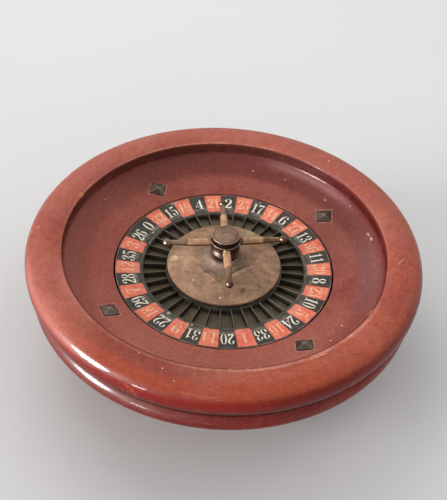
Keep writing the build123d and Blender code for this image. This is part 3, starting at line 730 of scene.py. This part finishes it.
def arm_brass():
    """The arms: worn gold where fingers spin them, darker on the balls, painted lighter on the arm at the
    left where the light falls, and painted shade below.
    """
    brass = old_metal("arm_brass", (214, 172, 142), (176, 136, 110), (120, 90, 72), 0.4, 0.28,
                      Coat_Weight=0.5, Coat_Roughness=0.1)
    ragged = brass.calc("MULTIPLY_ADD", brass.noise(3, 3, 0.6), 3, brass.where["away"])
    gold = brass.mix(brass.patches((5, 4, 0.65, (1, 1, 1)), 0.35, 0.7), (252, 204, 156), (214, 162, 120))
    brass.paint(gold, 0.9, brass.band(ragged, 15.7, 33, 0.8))
    brass.paint((104, 76, 62), 0.7, away=(45.5, 47))
    # Painted light on the arm at the left.
    brass.paint((206, 178, 152), x=(-32.5, -34.5, 0, 0.45))
    # Painted shade on the undersides.
    brass.paint((40, 28, 22), 0.92, z=(ARM_HEIGHT + 1.1, ARM_HEIGHT - 0.6))
    return brass.done(0.04)


def deflector_bronze():
    """The deflectors: dark, with pale worn ridges, pale tips worn and painted with a highlight, and painted
    shade on their upright edges.
    """
    bronze = old_metal("deflector_bronze", (190, 170, 146), (146, 130, 112), (96, 86, 74), 0.4, 0.24,
                       Metallic=0.8)
    bronze.paint((84, 80, 74), 0.35, x=(0, 50))
    half = DEFLECTOR_SIDE / 2
    for place in deflector_places():
        across, along = bronze.square(place)
        span = bronze.calc("MAXIMUM", across, along)
        off_ridge = bronze.calc("ABSOLUTE", bronze.calc("SUBTRACT", across, along))
        bronze.paint((206, 188, 164), 0.34, bronze.step(off_ridge, 0.2, 0.8, 1, 0),
                     bronze.step(span, half, half + 0.5, 1, 0))
        # Painted highlight over the worn tip.
        bronze.paint((206, 188, 168), bronze.step(span, 1.2, 3, 0.42, 0))
        # Painted shade on the upright edges.
        bronze.paint((48, 40, 34), 0.8, bronze.band(span, half - 0.1, half + 0.6, 0.2))
    return bronze.done(0.12)


def fret_metal():
    """The frets: dark and dusty on their sides, rubbed pale along the top edge."""
    metal = old_metal("fret_metal", (108, 100, 82), (88, 81, 66), (66, 60, 48), 0.3, 0.46)
    metal.paint((170, 164, 146), 0.6, z=(pocket_top - 0.35, pocket_top - 0.1))
    return metal.done(0.04)


# ---- inks of the number ring
# Each has a light, a body and a worn colour. The border's is grey, and the last two are for the numerals.
INKS = {
    "ink_dark": ((84, 79, 69), (58, 54, 46), (156, 148, 130)),
    "ink_red": ((255, 150, 120), (242, 108, 80), (254, 204, 178)),
    "ink_border": ((108, 106, 92), (64, 62, 53), (166, 160, 144)),
    "ink_cream": ((255, 250, 236), (244, 234, 212), (255, 252, 246)),
    "ink_orange": ((255, 214, 172), (250, 184, 140), (255, 232, 206)),
}


def printed(name, light, body, worn):
    """Old printed card under varnish: one ink, dusty, slightly uneven and chipped."""
    card = Finish(name, Coat_Weight=0.15, Coat_Roughness=0.3)
    cloud = card.noise(6, 5, 0.65)
    card.relief = card.noise(0.8, 4, 0.6, shift=(3, 3, 3))
    card.rough = card.step(cloud, 0.3, 0.7, 0.5, 0.72)
    card.colour = card.mix(card.step(cloud, 0.35, 0.7), body, light)
    card.paint(worn, card.step(card.relief, 0.58, 0.8, 0, 0.35))
    card.paint((208, 186, 164), card.step(cloud, 0.3, 0.7, 0.05, 0.3), away=(73.8, 77.5, 1.2))
    card.paint(worn, 0.6, card.specks(6, 0.8, 0.2))
    card.dots((216, 210, 192), 0.85, RING_CHIPS)
    return card.done(0.04)


# ---- bowl
def make_rim():
    nose_centre = (rim_radius - NOSE, rim_bottom + NOSE)
    shoulder, first, sweep = SHOULDER
    lean = radians(first)
    shoulder_centre = (nose_centre[0] + (NOSE - shoulder) * cos(lean),
                       nose_centre[1] + (NOSE - shoulder) * sin(lean))
    round_over = arc(shoulder_centre, shoulder, first, first + sweep)
    top = tangent_arc(round_over[-1], round_over[-2], (RIM_INNER, RIM_EDGE))
    outline = [
        (RIM_INNER, rim_bottom, SOFT_EDGE), (RIM_INNER, RIM_EDGE, RIM_EDGE_ROUND), *reversed(top[:-1]),
        *reversed(round_over[:-1]), *reversed(arc(nose_centre, NOSE, -90, first)[:-1]),
    ]
    mesh = lathe("rim_turned", outline, FINE_TURN)

    def chip(point):
        """Takes wood away towards the middle of the nose, with a ragged outline and floor."""
        depth = 0
        for *place, size, most in RIM_CHIPS:
            inside = 1 - (point - Vector(place)).length / size + 0.25 * noise.noise(point * 0.9)
            depth = max(depth, most * min(1, max(0, inside) * 3) * (0.8 + 0.4 * noise.noise(point * 0.6)))
        flat = Vector((point.x, point.y, 0)).normalized() * nose_centre[0]
        return (Vector((flat.x, flat.y, nose_centre[1])) - point).normalized() * depth

    reshape(mesh, chip)
    new_piece("rim_turned", "bowl", "polished_wood", mesh, [rim_wood()], "rim")


def make_moulding():
    bead_centre = (bead_reach - BEAD, moulding_top - MOULDING_FLAT - BEAD)
    neck = rim_radius - NOSE - NECK_IN
    half = (BEAD**2 - (bead_centre[0] - neck) ** 2) ** 0.5
    start = angle_to(bead_centre, (neck, bead_centre[1] - half))
    outline = [
        (RIM_INNER, moulding_bottom), (neck, moulding_bottom), *arc(bead_centre, BEAD, start, -start),
        (neck, moulding_top), (RIM_INNER, moulding_top),
    ]
    lathe_piece("moulding_turned", "bowl", "polished_wood", outline, moulding_wood(), "lower_moulding")


def make_track():
    hollow = tangent_arc(APRON_TURN, APRON_INNER, (track_radius, track_top))
    outline = [
        (APRON_INNER[0], track_bottom), (*APRON_INNER, SOFT_EDGE), *hollow[:-1], (*hollow[-1], COVE),
        (track_radius, track_top + COVE), (track_radius, track_bottom),
    ]
    lathe_piece("track_turned", "bowl", "polished_wood", outline, track_wood(), "track_ring")


def make_pedestal(wood):
    """The hollow pedestal on its ring foot."""
    side_top = (pedestal_radius, pedestal_top)
    neck_top = (foot_reach - FOOT, PEDESTAL_NECK_TOP)
    outline = [
        (0, foot_top), (neck_top[0], foot_top), (*neck_top, SOFT_EDGE),
        *arc_through(neck_top, PEDESTAL_BULGE, side_top)[1:-1], (*side_top, SOFT_EDGE),
        (RIM_INNER - LEDGE, pedestal_top), (foot_reach - FOOT - FOOT_WIDTH, HOLLOW_FLOOR),
        (0, HOLLOW_FLOOR),
    ]
    lathe_piece("pedestal_turned", "bowl", "polished_wood", outline, wood, "underbody")
    centre = (foot_reach - FOOT, foot_bottom + FOOT)
    outline = [
        (centre[0] - FOOT_WIDTH, foot_bottom, SOFT_EDGE), *arc(centre, FOOT, -90, 90),
        (centre[0] - FOOT_WIDTH, foot_top),
    ]
    lathe_piece("foot_turned", "bowl", "polished_wood", outline, wood, "foot_ring")


def make_felt():
    """The felt ring, its edge slightly uneven, as cut by hand."""
    edges = (felt_radius - FELT_WIDTH + FELT_IN, felt_radius - FELT_IN)
    mesh = lathe("felt_cut", flat_ring(*edges, table_height, felt_top, FELT_ROUNDING))
    wander = random.Random(3)
    drift = [wander.uniform(-FELT_WANDER, FELT_WANDER) for _ in range(FELT_CUTS)]

    def cut(point):
        turned = (atan2(point.y, point.x) / tau) % 1 * FELT_CUTS
        first, share = int(turned) % FELT_CUTS, turned - int(turned)
        shift = drift[first] * (1 - share) + drift[(first + 1) % FELT_CUTS] * share
        return Vector((point.x, point.y, 0)).normalized() * shift

    reshape(mesh, cut)
    new_piece("felt_cut", "bowl", "felt", mesh, [green_felt()], "felt_ring")


# ---- deflectors
def deflector_places():
    """The place of each deflector: on the apron, turned about its own spike."""
    rise, run = APRON_TURN[1] - APRON_INNER[1], APRON_TURN[0] - APRON_INNER[0]
    slope = atan2(rise, run)
    height = APRON_INNER[1] + (DEFLECTOR_RADIUS - APRON_INNER[0]) * rise / run
    places = []
    for index, own_turn in enumerate(DEFLECTOR_TURNS):
        angle = radians(DEFLECTOR_START + 90 * index)
        cosine, sine = cos(angle), sin(angle)
        normal = Vector((-sin(slope) * cosine, -sin(slope) * sine, cos(slope)))
        centre = Vector((DEFLECTOR_RADIUS * cosine, DEFLECTOR_RADIUS * sine, height))
        turned = radians(own_turn)
        along = Vector((cos(turned), sin(turned), 0))
        along.z = -normal.dot(along) / normal.z
        along.normalize()
        axes = Matrix((along, normal.cross(along), normal)).transposed().to_4x4()
        places.append(Matrix.Translation((centre - normal * DEFLECTOR_SEAT) * MM) @ axes)
    return places


def make_deflectors():
    """Cast pyramids with worn ridges and slightly hollow sides."""
    finish = deflector_bronze()
    half, tip = DEFLECTOR_SIDE / 2, DEFLECTOR_TIP / 2
    rings = [(half, 0), (half, DEFLECTOR_EDGE)]
    for share in (k / DEFLECTOR_ROWS for k in range(1, DEFLECTOR_ROWS)):
        sunk = DEFLECTOR_HOLLOW * sin(pi * share)
        rings.append((half + (tip - half) * share, DEFLECTOR_EDGE + DEFLECTOR_RISE * share - sunk))
    rings.append((tip, DEFLECTOR_EDGE + DEFLECTOR_RISE))
    corners = [Vector(corner) for corner in ((1, 1), (-1, 1), (-1, -1), (1, -1))]
    sides = [(start, end, k / DEFLECTOR_COLUMNS) for start, end in zip(corners, corners[1:] + corners[:1])
             for k in range(DEFLECTOR_COLUMNS)]
    for number, place in enumerate(deflector_places(), start=1):
        work = bmesh.new()
        loops = [
            [work.verts.new((*(start.lerp(end, t) * reach_out * MM), height * MM)) for start, end, t in sides]
            for reach_out, height in rings
        ]
        work.faces.new(loops[0])
        work.faces.new(loops[-1])
        loft(work, loops)
        bmesh.ops.recalc_face_normals(work, faces=work.faces)
        sharp = [e for e in work.edges if e.calc_face_angle(0) > RIDGE_ANGLE]
        bmesh.ops.bevel(work, geom=sharp, offset=DEFLECTOR_WEAR * MM, segments=2, profile=0.6, affect="EDGES")
        bmesh.ops.transform(work, matrix=place, verts=work.verts)
        name = f"deflector_cast_{number}"
        new_piece(name, "bowl", "dark_bronze", finish_mesh(name, work, 50), [finish], f"deflector_{number}")


# ---- number ring
def ring_height(radius):
    """Height of the number ring's sloping face at a radius."""
    share = (radius - wall_radius) / (ring_radius - wall_radius)
    return pocket_top + (ring_top - pocket_top) * share


def make_number_ring(inks):
    """The printed ring: one loop of faces per cell, with a grey border inside the cells."""
    work = bmesh.new()
    top = [wall_radius, wall_radius + RING_BORDER[0], ring_radius - RING_BORDER[1], ring_radius]
    outline = [(r, ring_height(r)) for r in top]
    outline += [(r, ring_height(r) - RING_THICKNESS) for r in (ring_radius, wall_radius)]
    turn(work, outline, POCKETS * CELL_LOOPS, ZERO_ANGLE - STEP / 2)
    for face in work.faces:
        middle = face.calc_center_median()
        radius = hypot(middle.x, middle.y) / MM
        cell = round((ZERO_ANGLE - atan2(middle.y, middle.x)) / STEP) % POCKETS
        upper = middle.z / MM > ring_height(radius) - RING_THICKNESS / 2
        if upper and radius < top[1]:
            face.material_index = 2
        elif upper and radius < top[2]:
            face.material_index = cell % 2
    mesh = finish_mesh("number_ring_printed", work)
    new_piece("number_ring_printed", "wheel_head", "number_paint", mesh, inks, "number_ring")


# Numerals are drawn 100 high. A point is (x, y) on a curve, or (x, y, 0) where the outline has a corner.
NUMERALS = {
    0: [
        [(25, 100), (42, 90), (50, 50), (42, 10), (25, 0), (8, 10), (0, 50), (8, 90)],
        [(25, 95), (32, 86), (34.5, 50), (32, 14), (25, 5), (18, 14), (15.5, 50), (18, 86)],
    ],
    1: [[
        (6, 0, 0), (46, 0, 0), (46, 5, 0), (35, 7, 0), (35, 100, 0), (29, 100, 0), (20, 90), (6, 84, 0),
        (6, 79, 0), (19, 80, 0), (19, 7, 0), (6, 5, 0),
    ]],
    2: [[
        (2, 0, 0), (48, 0, 0), (50, 27, 0), (46, 27, 0), (41, 15, 0), (17, 15, 0), (31, 32), (45, 52),
        (50, 73), (44, 92), (26, 100), (8, 94), (1, 79), (3, 69), (11, 66), (18, 71), (17, 80), (15, 86),
        (19, 93), (26, 95), (32, 87), (33, 70), (26, 50), (12, 28), (2, 12, 0),
    ]],
    3: [[
        (1, 78), (8, 93), (24, 100), (41, 95), (47, 78), (43, 62), (32, 52), (44, 45), (50, 27), (44, 8),
        (24, 0), (7, 6), (0, 21), (3, 31), (11, 33), (17, 27), (17, 17), (15, 10), (20, 5), (27, 5),
        (33, 14), (34, 30), (29, 44), (15, 49, 0), (15, 54, 0), (27, 59), (31, 72), (31, 86), (26, 95),
        (20, 95), (15, 89), (18, 82), (17, 73), (9, 68), (3, 70),
    ]],
    4: [
        [
            (20, 0, 0), (54, 0, 0), (54, 5, 0), (46, 7, 0), (46, 24, 0), (55, 24, 0), (55, 30, 0),
            (46, 30, 0), (46, 100, 0), (39, 100, 0), (-1, 30, 0), (-1, 24, 0), (30, 24, 0), (30, 7, 0),
            (20, 5, 0),
        ],
        [(6, 30, 0), (30, 30, 0), (30, 73, 0)],
    ],
    5: [[
        (7, 100, 0), (45, 100, 0), (41, 85, 0), (12, 85, 0), (12, 60, 0), (20, 65), (33, 65), (45, 54),
        (50, 33), (45, 11), (26, 0), (8, 5), (0, 20), (3, 30), (11, 33), (17, 27), (17, 17), (15, 10),
        (20, 5), (27, 5), (33, 15), (34, 34), (31, 53), (25, 60), (16, 58), (11, 51, 0), (7, 51, 0),
    ]],
    6: [
        [
            (47, 82), (40, 96), (27, 100), (11, 91), (1, 68), (0, 38), (6, 10), (25, 0), (44, 9), (50, 31),
            (45, 52), (32, 60), (21, 57), (16, 50, 0), (16, 68), (20, 88), (27, 95), (32, 93), (31, 87),
            (31, 79), (37, 73), (45, 75),
        ],
        [(16, 31), (18, 49), (25, 55), (31, 50), (34, 31), (32, 12), (25, 5), (18, 12)],
    ],
    7: [[
        (1, 100, 0), (50, 100, 0), (50, 93, 0), (38, 66), (31, 34), (30, 0, 0), (12, 0, 0), (14, 26),
        (23, 55), (40, 84, 0), (15, 84), (7, 79), (5, 70, 0), (1, 70, 0),
    ]],
    8: [
        [
            (25, 100), (41, 94), (47, 77), (43, 62), (34, 52), (45, 43), (50, 26), (44, 7), (25, 0), (6, 7),
            (0, 26), (5, 43), (16, 52), (7, 62), (3, 77), (9, 94),
        ],
        [(25, 95), (31, 89), (33, 77), (31, 65), (25, 56), (18, 65), (16, 77), (18, 89)],
        [(25, 48), (32, 40), (34, 26), (32, 11), (25, 5), (18, 11), (15, 26), (17, 40)],
    ],
}
NUMERALS[9] = [[(50 - p[0], 100 - p[1], *p[2:]) for p in outline] for outline in NUMERALS[6]]
NUMERAL_HEIGHT = 100
NUMERAL_WIDTH = 50
STROKE_TRIM = 1.3


def smooth_line(points, steps=6):
    """A closed line through the points: a Catmull-Rom curve, straight between two corners."""
    line = []
    count = len(points)
    for i in range(count):
        start, end = Vector(points[i][:2]), Vector(points[(i + 1) % count][:2])
        start_corner, end_corner = len(points[i]) == 3, len(points[(i + 1) % count]) == 3
        if start_corner and end_corner:
            line.append(start)
            continue
        before = 2 * start - end if start_corner else Vector(points[i - 1][:2])
        after = 2 * end - start if end_corner else Vector(points[(i + 2) % count][:2])
        for k in range(steps):
            t = k / steps
            line.append(0.5 * (
                2 * start + (end - before) * t + (2 * before - 5 * start + 4 * end - after) * t**2
                + (3 * start - before - 3 * end + after) * t**3
            ))
    return line


def trimmed(line, amount):
    """A closed line moved to the right of its own direction."""
    ways = [(line[(i + 1) % len(line)] - line[i - 1]).normalized() for i in range(len(line))]
    return [point + Vector((way.y, -way.x)) * amount for point, way in zip(line, ways)]


def add_numeral(work, digit, angle, left, width, ink):
    """Inlays a numeral. left and width run along the ring, from the middle of its cell."""
    outlines = []
    for number, points in enumerate(NUMERALS[digit]):
        line = smooth_line(points)
        turned_right = sum(a.x * b.y - b.x * a.y for a, b in zip(line, line[1:] + line[:1])) < 0
        inward = turned_right == (number == 0)
        outlines.append(trimmed(line, STROKE_TRIM if inward else -STROKE_TRIM))
    flat = [p for outline in outlines for p in outline]
    out = Vector((cos(angle), sin(angle)))
    along = Vector((sin(angle), -cos(angle)))

    def place(point, lift):
        radius = DIGIT_FOOT + (DIGIT_HEAD - DIGIT_FOOT) * point.y / NUMERAL_HEIGHT
        spot = out * radius + along * (left + width * point.x / NUMERAL_WIDTH)
        return work.verts.new((spot.x * MM, spot.y * MM, (ring_height(spot.length) + lift) * MM))

    upper = [place(p, INLAY) for p in flat]
    lower = [place(p, -INLAY) for p in flat]
    for triangle in tessellate_polygon([[p.to_3d() for p in outline] for outline in outlines]):
        if len(set(triangle)) == 3:
            for verts in (upper, lower):
                work.faces.new([verts[i] for i in triangle]).material_index = ink
    first = 0
    for outline in outlines:
        last = first + len(outline)
        for face in loft(work, [lower[first:last], upper[first:last]]):
            face.material_index = ink
        first = last


def make_numerals(inks):
    """The numbers, read from the rim: cream on dark cells, orange on red ones."""
    work = bmesh.new()
    for cell, number in enumerate(WHEEL_ORDER):
        width, *lefts = DIGIT_WIDTH, -DIGIT_WIDTH / 2
        if number > 9:
            width, *lefts = (PAIR_WIDTH - PAIR_GAP) / 2, -PAIR_WIDTH / 2, PAIR_GAP / 2
        for digit, left in zip(str(number), lefts):
            add_numeral(work, int(digit), ZERO_ANGLE - cell * STEP, left, width, cell % 2)
    new_piece("numerals", "wheel_head", "number_paint", finish_mesh("numerals", work), inks)


# ---- wheel head
def make_bands():
    """The hoop round the number ring, the pockets' outer wall, their inner band and their floor."""
    metal = old_metal("dull_metal", (176, 176, 166), (122, 122, 112), (72, 72, 62), 0.5, 0.36)
    bright = old_metal("hoop_metal", (236, 228, 214), (196, 186, 172), (120, 108, 96), 0.5, 0.36)
    dusty = black_paint("dusty_paint", (110, 97, 76), (136, 121, 98))
    inside, soft = POCKET_INNER - INNER_BAND, CRISP_EDGE
    for name, slot, finish, node, *section in (
        ("hoop", "dull_metal", bright.done(0.04), "edge_band",
         ring_radius, band_radius, band_bottom, band_top, (0, soft, soft, soft)),
        ("inner_band", "dull_metal", metal.done(0.04), "pocket_band",
         inside, POCKET_INNER, inner_band_bottom, inner_band_top, (0, 0, soft, soft)),
        ("pocket_rim", "black_paint", black_paint(), "pocket_wall",
         wall_radius - POCKET_WALL, wall_radius, pocket_floor_top, pocket_top, (0, 0, 0, soft)),
        ("pocket_base", "black_paint", dusty, "pocket_floor", inside, floor_radius, floor_bottom, floor_top),
    ):
        lathe_piece(name, "wheel_head", slot, flat_ring(*section), finish, node)


def make_frets():
    """Thin upright plates between the pockets, with rounded top edges."""
    work = bmesh.new()
    half = FRET / 2
    section = soften([
        (-half, pocket_floor_top), (half, pocket_floor_top),
        (half, pocket_top, FRET_ROUNDING), (-half, pocket_top, FRET_ROUNDING),
    ])
    for cell in range(POCKETS):
        place = Matrix.Rotation(ZERO_ANGLE + STEP / 2 + cell * STEP, 3, "Z")
        inner, outer = (
            [work.verts.new(place @ Vector((radius, x, z)) * MM) for x, z in section]
            for radius in (POCKET_INNER + FRET_GAPS[0], wall_radius - FRET_GAPS[1])
        )
        loft(work, [inner, outer])
        work.faces.new(inner)
        work.faces.new(outer)
    mesh = finish_mesh("fret_plates", work, 50)
    new_piece("fret_plates", "wheel_head", "dull_metal", mesh, [fret_metal()], "frets")


def make_cone():
    edge = (cone_radius, cone_bottom + CONE_EDGE)
    upper = tangent_arc(CONE_COLLAR, edge, (CONE_NECK, cone_top))
    slope = [Vector(CONE_COLLAR).lerp(edge, k / CONE_RINGS) for k in range(1, CONE_RINGS)]
    outline = [
        (0, cone_top), *reversed(upper), *[tuple(point) for point in slope], (*edge, CRISP_EDGE * 2),
        (cone_radius, cone_bottom), (cone_radius - CONE_WALL, cone_bottom),
        (cone_radius - CONE_WALL, edge[1] - CONE_WALL), (CONE_COLLAR[0], CONE_COLLAR[1] - CONE_WALL),
        (CONE_NECK - CONE_WALL, cone_top - CONE_WALL), (0, cone_top - CONE_WALL),
    ]
    mesh = lathe("cone_spun", outline)

    def fold(point):
        """Lifts one side of each fold and sinks the other, so that the sheet looks creased."""
        lift = 0
        for first, last, width, most in CONE_FOLDS:
            start, along = Vector(first), Vector(last) - Vector(first)
            share = (point.xy - start).dot(along) / along.length_squared
            if 0 < share < 1:
                side = along.normalized().cross(point.xy - start) / width
                lift += most * side * exp(0.5 - side**2 / 2) * sin(pi * share) ** 0.5
        return Vector((0, 0, lift))

    reshape(mesh, fold)
    new_piece("cone_spun", "wheel_head", "aged_brass", mesh, [cone_brass()], "cone")


def make_turret(metal):
    """The barrel with its two waists, and the cap with a groove round its domed top."""
    ring_reach, ring_low, ring_high = BARREL_RING
    waist, lip_low, step_top = BARREL_WAIST, BARREL_LIP[1], ring_high + BARREL_STEP
    outline = [
        (0, barrel_bottom), (BARREL_FOOT, barrel_bottom),
        *arc_through((waist, ring_low), (ring_reach, (ring_low + ring_high) / 2), (waist, ring_high)),
        *arc_through((ring_reach, step_top), (waist, (step_top + lip_low) / 2), BARREL_LIP),
        (barrel_radius, barrel_top, CRISP_EDGE), (0, barrel_top),
    ]
    lathe_piece("barrel_turned", "wheel_head", "aged_brass", outline, metal, "turret_barrel", SMALL_TURN)
    low, high = CAP_EDGE
    inside = cap_radius - CAP_GROOVE
    shares = [CAP_DOME * (1 - k / 6) for k in range(6)]
    outline = [
        (0, barrel_top), (CAP_NECK, barrel_top), (CAP_NECK, low), (cap_radius, low, CRISP_EDGE),
        (cap_radius, high, CRISP_EDGE * 1.5),
        *[(inside - way_in, high + lift) for way_in, lift in CAP_GROOVE_CUT],
        *[(cap_radius * share, high + (cap_crown - high) * (1 - share**2)) for share in shares],
        (0, cap_crown),
    ]
    lathe_piece("cap_turned", "wheel_head", "aged_brass", outline, cap_bronze(), "turret_cap", SMALL_TURN)


def make_arms():
    metal = arm_brass()
    root, root_end, root_radius = ARM_ROOT
    grip_end, grip_radius = ARM_GRIP
    ball_at, ball_radius = ARM_BALL
    back = 180 - degrees(asin(ARM_NECK / ball_radius))
    ball = [(r, z) for z, r in arc((ball_at, 0), ball_radius, back, 0)]
    outline = [
        (0, root), (root_radius, root, CRISP_EDGE), (root_radius, root_end, CRISP_EDGE),
        (grip_radius, root_end), (grip_radius, grip_end, CRISP_EDGE * 2), (ARM_TAPER, grip_end),
        *ball[:-1], (0, ball[-1][1]),
    ]
    for number, angle in enumerate(ARM_ANGLES, start=1):
        lift = Matrix.Translation((0, 0, ARM_HEIGHT * MM))
        place = lift @ Matrix.Rotation(radians(angle), 4, "Z") @ Matrix.Rotation(pi / 2, 4, "Y")
        work = bmesh.new()
        turn(work, soften(outline, closed=False), ARM_TURN, place=place)
        name = f"arm_turned_{number}"
        new_piece(name, "wheel_head", "aged_brass", finish_mesh(name, work), [metal], f"handle_arm_{number}")


def finish_cad_nodes(wood, bronze):
    """Gives the CAD nodes that keep their own shape a material."""
    bearings = [f"{level}_{part}" for level in ("lower", "upper")
                for part in ("inner_race", "outer_race", "bearing_balls", "bearing_cage")]
    steel = old_metal("steel", (214, 214, 210), (182, 182, 178), (128, 124, 116), 0.5, 0.26).done(0.03)
    for finish, *names in (
        (plain_board(), "base_board"),
        (wood, "track_ledge"),
        (black_paint(), "rotor_disc", "hub_block", "number_seat"),
        (bronze, "turret_base", "bearing_housing"),
        (steel, "base_screws", "spindle", "spindle_screws", "spindle_spacer", "spindle_washer", "spindle_nut",
         "housing_screws", *bearings),
    ):
        for name in names:
            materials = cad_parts[name].data.materials
            materials.clear()
            materials.append(finish)


# ---- camera, light and stage
CAMERA_PLACE = (0, -0.487083, 0.554123)
CAMERA_RIGHT = (0.99732217, 0.05166992, 0.05175627)
CAMERA_DOWN = (0.07310947, -0.68629558, -0.72363899)
CAMERA_FORWARD = (-0.00187027, 0.72548508, -0.68823536)
CAMERA_LENS = 57.233
CAMERA_SENSOR = 36
FLOOR_GAP = 0.0001  # keeps the floor just under the felt
FLOOR_RADIUS = 4
# Light panels: name, azimuth, elevation, distance, width, height, power and shape. Angles are in degrees.
# The narrow ones are the panes of a low window, which show as streaks on the polished wood and the brass.
# The wide ones are soft, and light the wheel without a reflection of their own.
PANES = (
    ("pane_high", -150, 13.5, 1.6, 0.62, 0.72, 82, "ELLIPSE"),
    ("pane_low", -149, 2.2, 1.6, 0.34, 0.07, 4, "ELLIPSE"),
    ("pane_side", -124, 4.2, 1.6, 0.24, 0.22, 7.5, "ELLIPSE"),
)
SOFT_LIGHTS = (
    ("key", 122, 52, 1.8, 1.2, 1.2, 8.6, "RECTANGLE"),
    ("fill", 30, 55, 2.2, 1.6, 1.6, 4, "RECTANGLE"),
)
DAYLIGHT = (-158, 14, 30, 1.85)  # azimuth, elevation, width and strength of the light from the window
SURROUND_LIGHT, SURROUND_SEEN = 0.54, 0.93
SURROUND_GLOSS = (0.12, 0.46)  # in reflections: from the front of the wheel round to the wall behind it
SURROUND_TURN = (-0.5, 0.9)  # where that change starts and ends, as the Y of the direction


def make_camera():
    """A camera at the reference view's place and angle."""
    data = bpy.data.cameras.new("camera")
    data.lens, data.sensor_width = CAMERA_LENS, CAMERA_SENSOR
    camera = add_object("camera", data)
    axes = Matrix((CAMERA_RIGHT, -Vector(CAMERA_DOWN), -Vector(CAMERA_FORWARD))).transposed().to_4x4()
    camera.matrix_world = Matrix.Translation(CAMERA_PLACE) @ axes
    bpy.context.scene.camera = camera


def make_panel(name, azimuth, elevation, distance, width, height, power, shape):
    """A soft light panel that faces the wheel, with its azimuth from +X."""
    data = bpy.data.lights.new(name, "AREA")
    data.shape = shape
    data.size, data.size_y = width, height
    data.energy = power
    lamp = add_object(name, data)
    azimuth, elevation = radians(azimuth), radians(elevation)
    flat = Vector((cos(azimuth), sin(azimuth), tan(elevation)))
    lamp.location = flat.normalized() * distance
    lamp.rotation_euler = lamp.location.to_track_quat("Z", "Y").to_euler()
    return lamp


def make_daylight(azimuth, elevation, width, strength):
    """Soft light from far off, as even over the floor as over the wheel."""
    data = bpy.data.lights.new("daylight", "SUN")
    data.angle = radians(width)
    data.energy = strength
    lamp = add_object("daylight", data)
    lamp.rotation_euler = (radians(90 - elevation), 0, radians(90 + azimuth))
    lamp.visible_glossy = False


def seen_directly(tree):
    """The light path, and 1 for rays that show a surface rather than light it."""
    path = add_node(tree, "LightPath")
    seen = path["Is Camera Ray"]
    for ray in ("Is Glossy Ray", "Is Transmission Ray"):
        seen = add_node(tree, "Math", (seen, path[ray]), operation="MAXIMUM")[0]
    return path, seen


def make_world():
    """An even pale surround: near white to the camera, dimmer in reflections and as a light."""
    world = bpy.data.worlds.new("surround")
    bpy.context.scene.world = world
    world.use_nodes = True
    tree = world.node_tree
    tree.nodes.clear()
    path, seen = seen_directly(tree)
    direction = add_node(tree, "SeparateXYZ", [add_node(tree, "TexCoord")["Generated"]])
    behind = add_node(tree, "MapRange", (direction[1], *SURROUND_TURN, *SURROUND_GLOSS),
                      interpolation_type="SMOOTHSTEP")[0]
    shade, *shown = (
        add_node(tree, "Background", ((grey, grey, grey, 1), strength))[0]
        for grey, strength in ((SURROUND_LIGHT, 1), (1, behind), (SURROUND_SEEN, 1))
    )
    for factor, other in zip((seen, path["Is Camera Ray"]), shown):
        shade = add_node(tree, "MixShader", (factor, shade, other))[0]
    add_node(tree, "OutputWorld", [shade])


def make_floor():
    """A wide pale floor, which throws little of its light back up."""
    work = bmesh.new()
    bmesh.ops.create_circle(work, cap_ends=True, segments=128, radius=FLOOR_RADIUS)
    floor = add_object("floor", finish_mesh("floor", work))
    floor.location.z = -FLOOR_GAP
    finish = Finish("floor", Roughness=0.9, Specular_IOR_Level=0)
    shown = finish.mix(finish.noise(400, 2), (228, 228, 228), (234, 233, 232))
    finish.colour = finish.mix(seen_directly(finish.tree)[1], (150, 150, 150), shown)
    floor.data.materials.append(finish.done())


# ---- the scene
make_camera()
make_world()
make_floor()
for panel in PANES:
    make_panel(*panel).visible_diffuse = False
for panel in SOFT_LIGHTS:
    make_panel(*panel).visible_glossy = False
make_daylight(*DAYLIGHT)

inks = [printed(name, *colours) for name, colours in INKS.items()]
red_wood, bronze = pedestal_wood(), turret_bronze()
make_rim()
make_moulding()
make_track()
make_pedestal(red_wood)
make_felt()
make_deflectors()
make_number_ring(inks[:3])
make_numerals(inks[3:])
make_bands()
make_frets()
make_cone()
make_turret(bronze)
make_arms()
finish_cad_nodes(red_wood, bronze)

bpy.context.scene.view_settings.view_transform = "Standard"
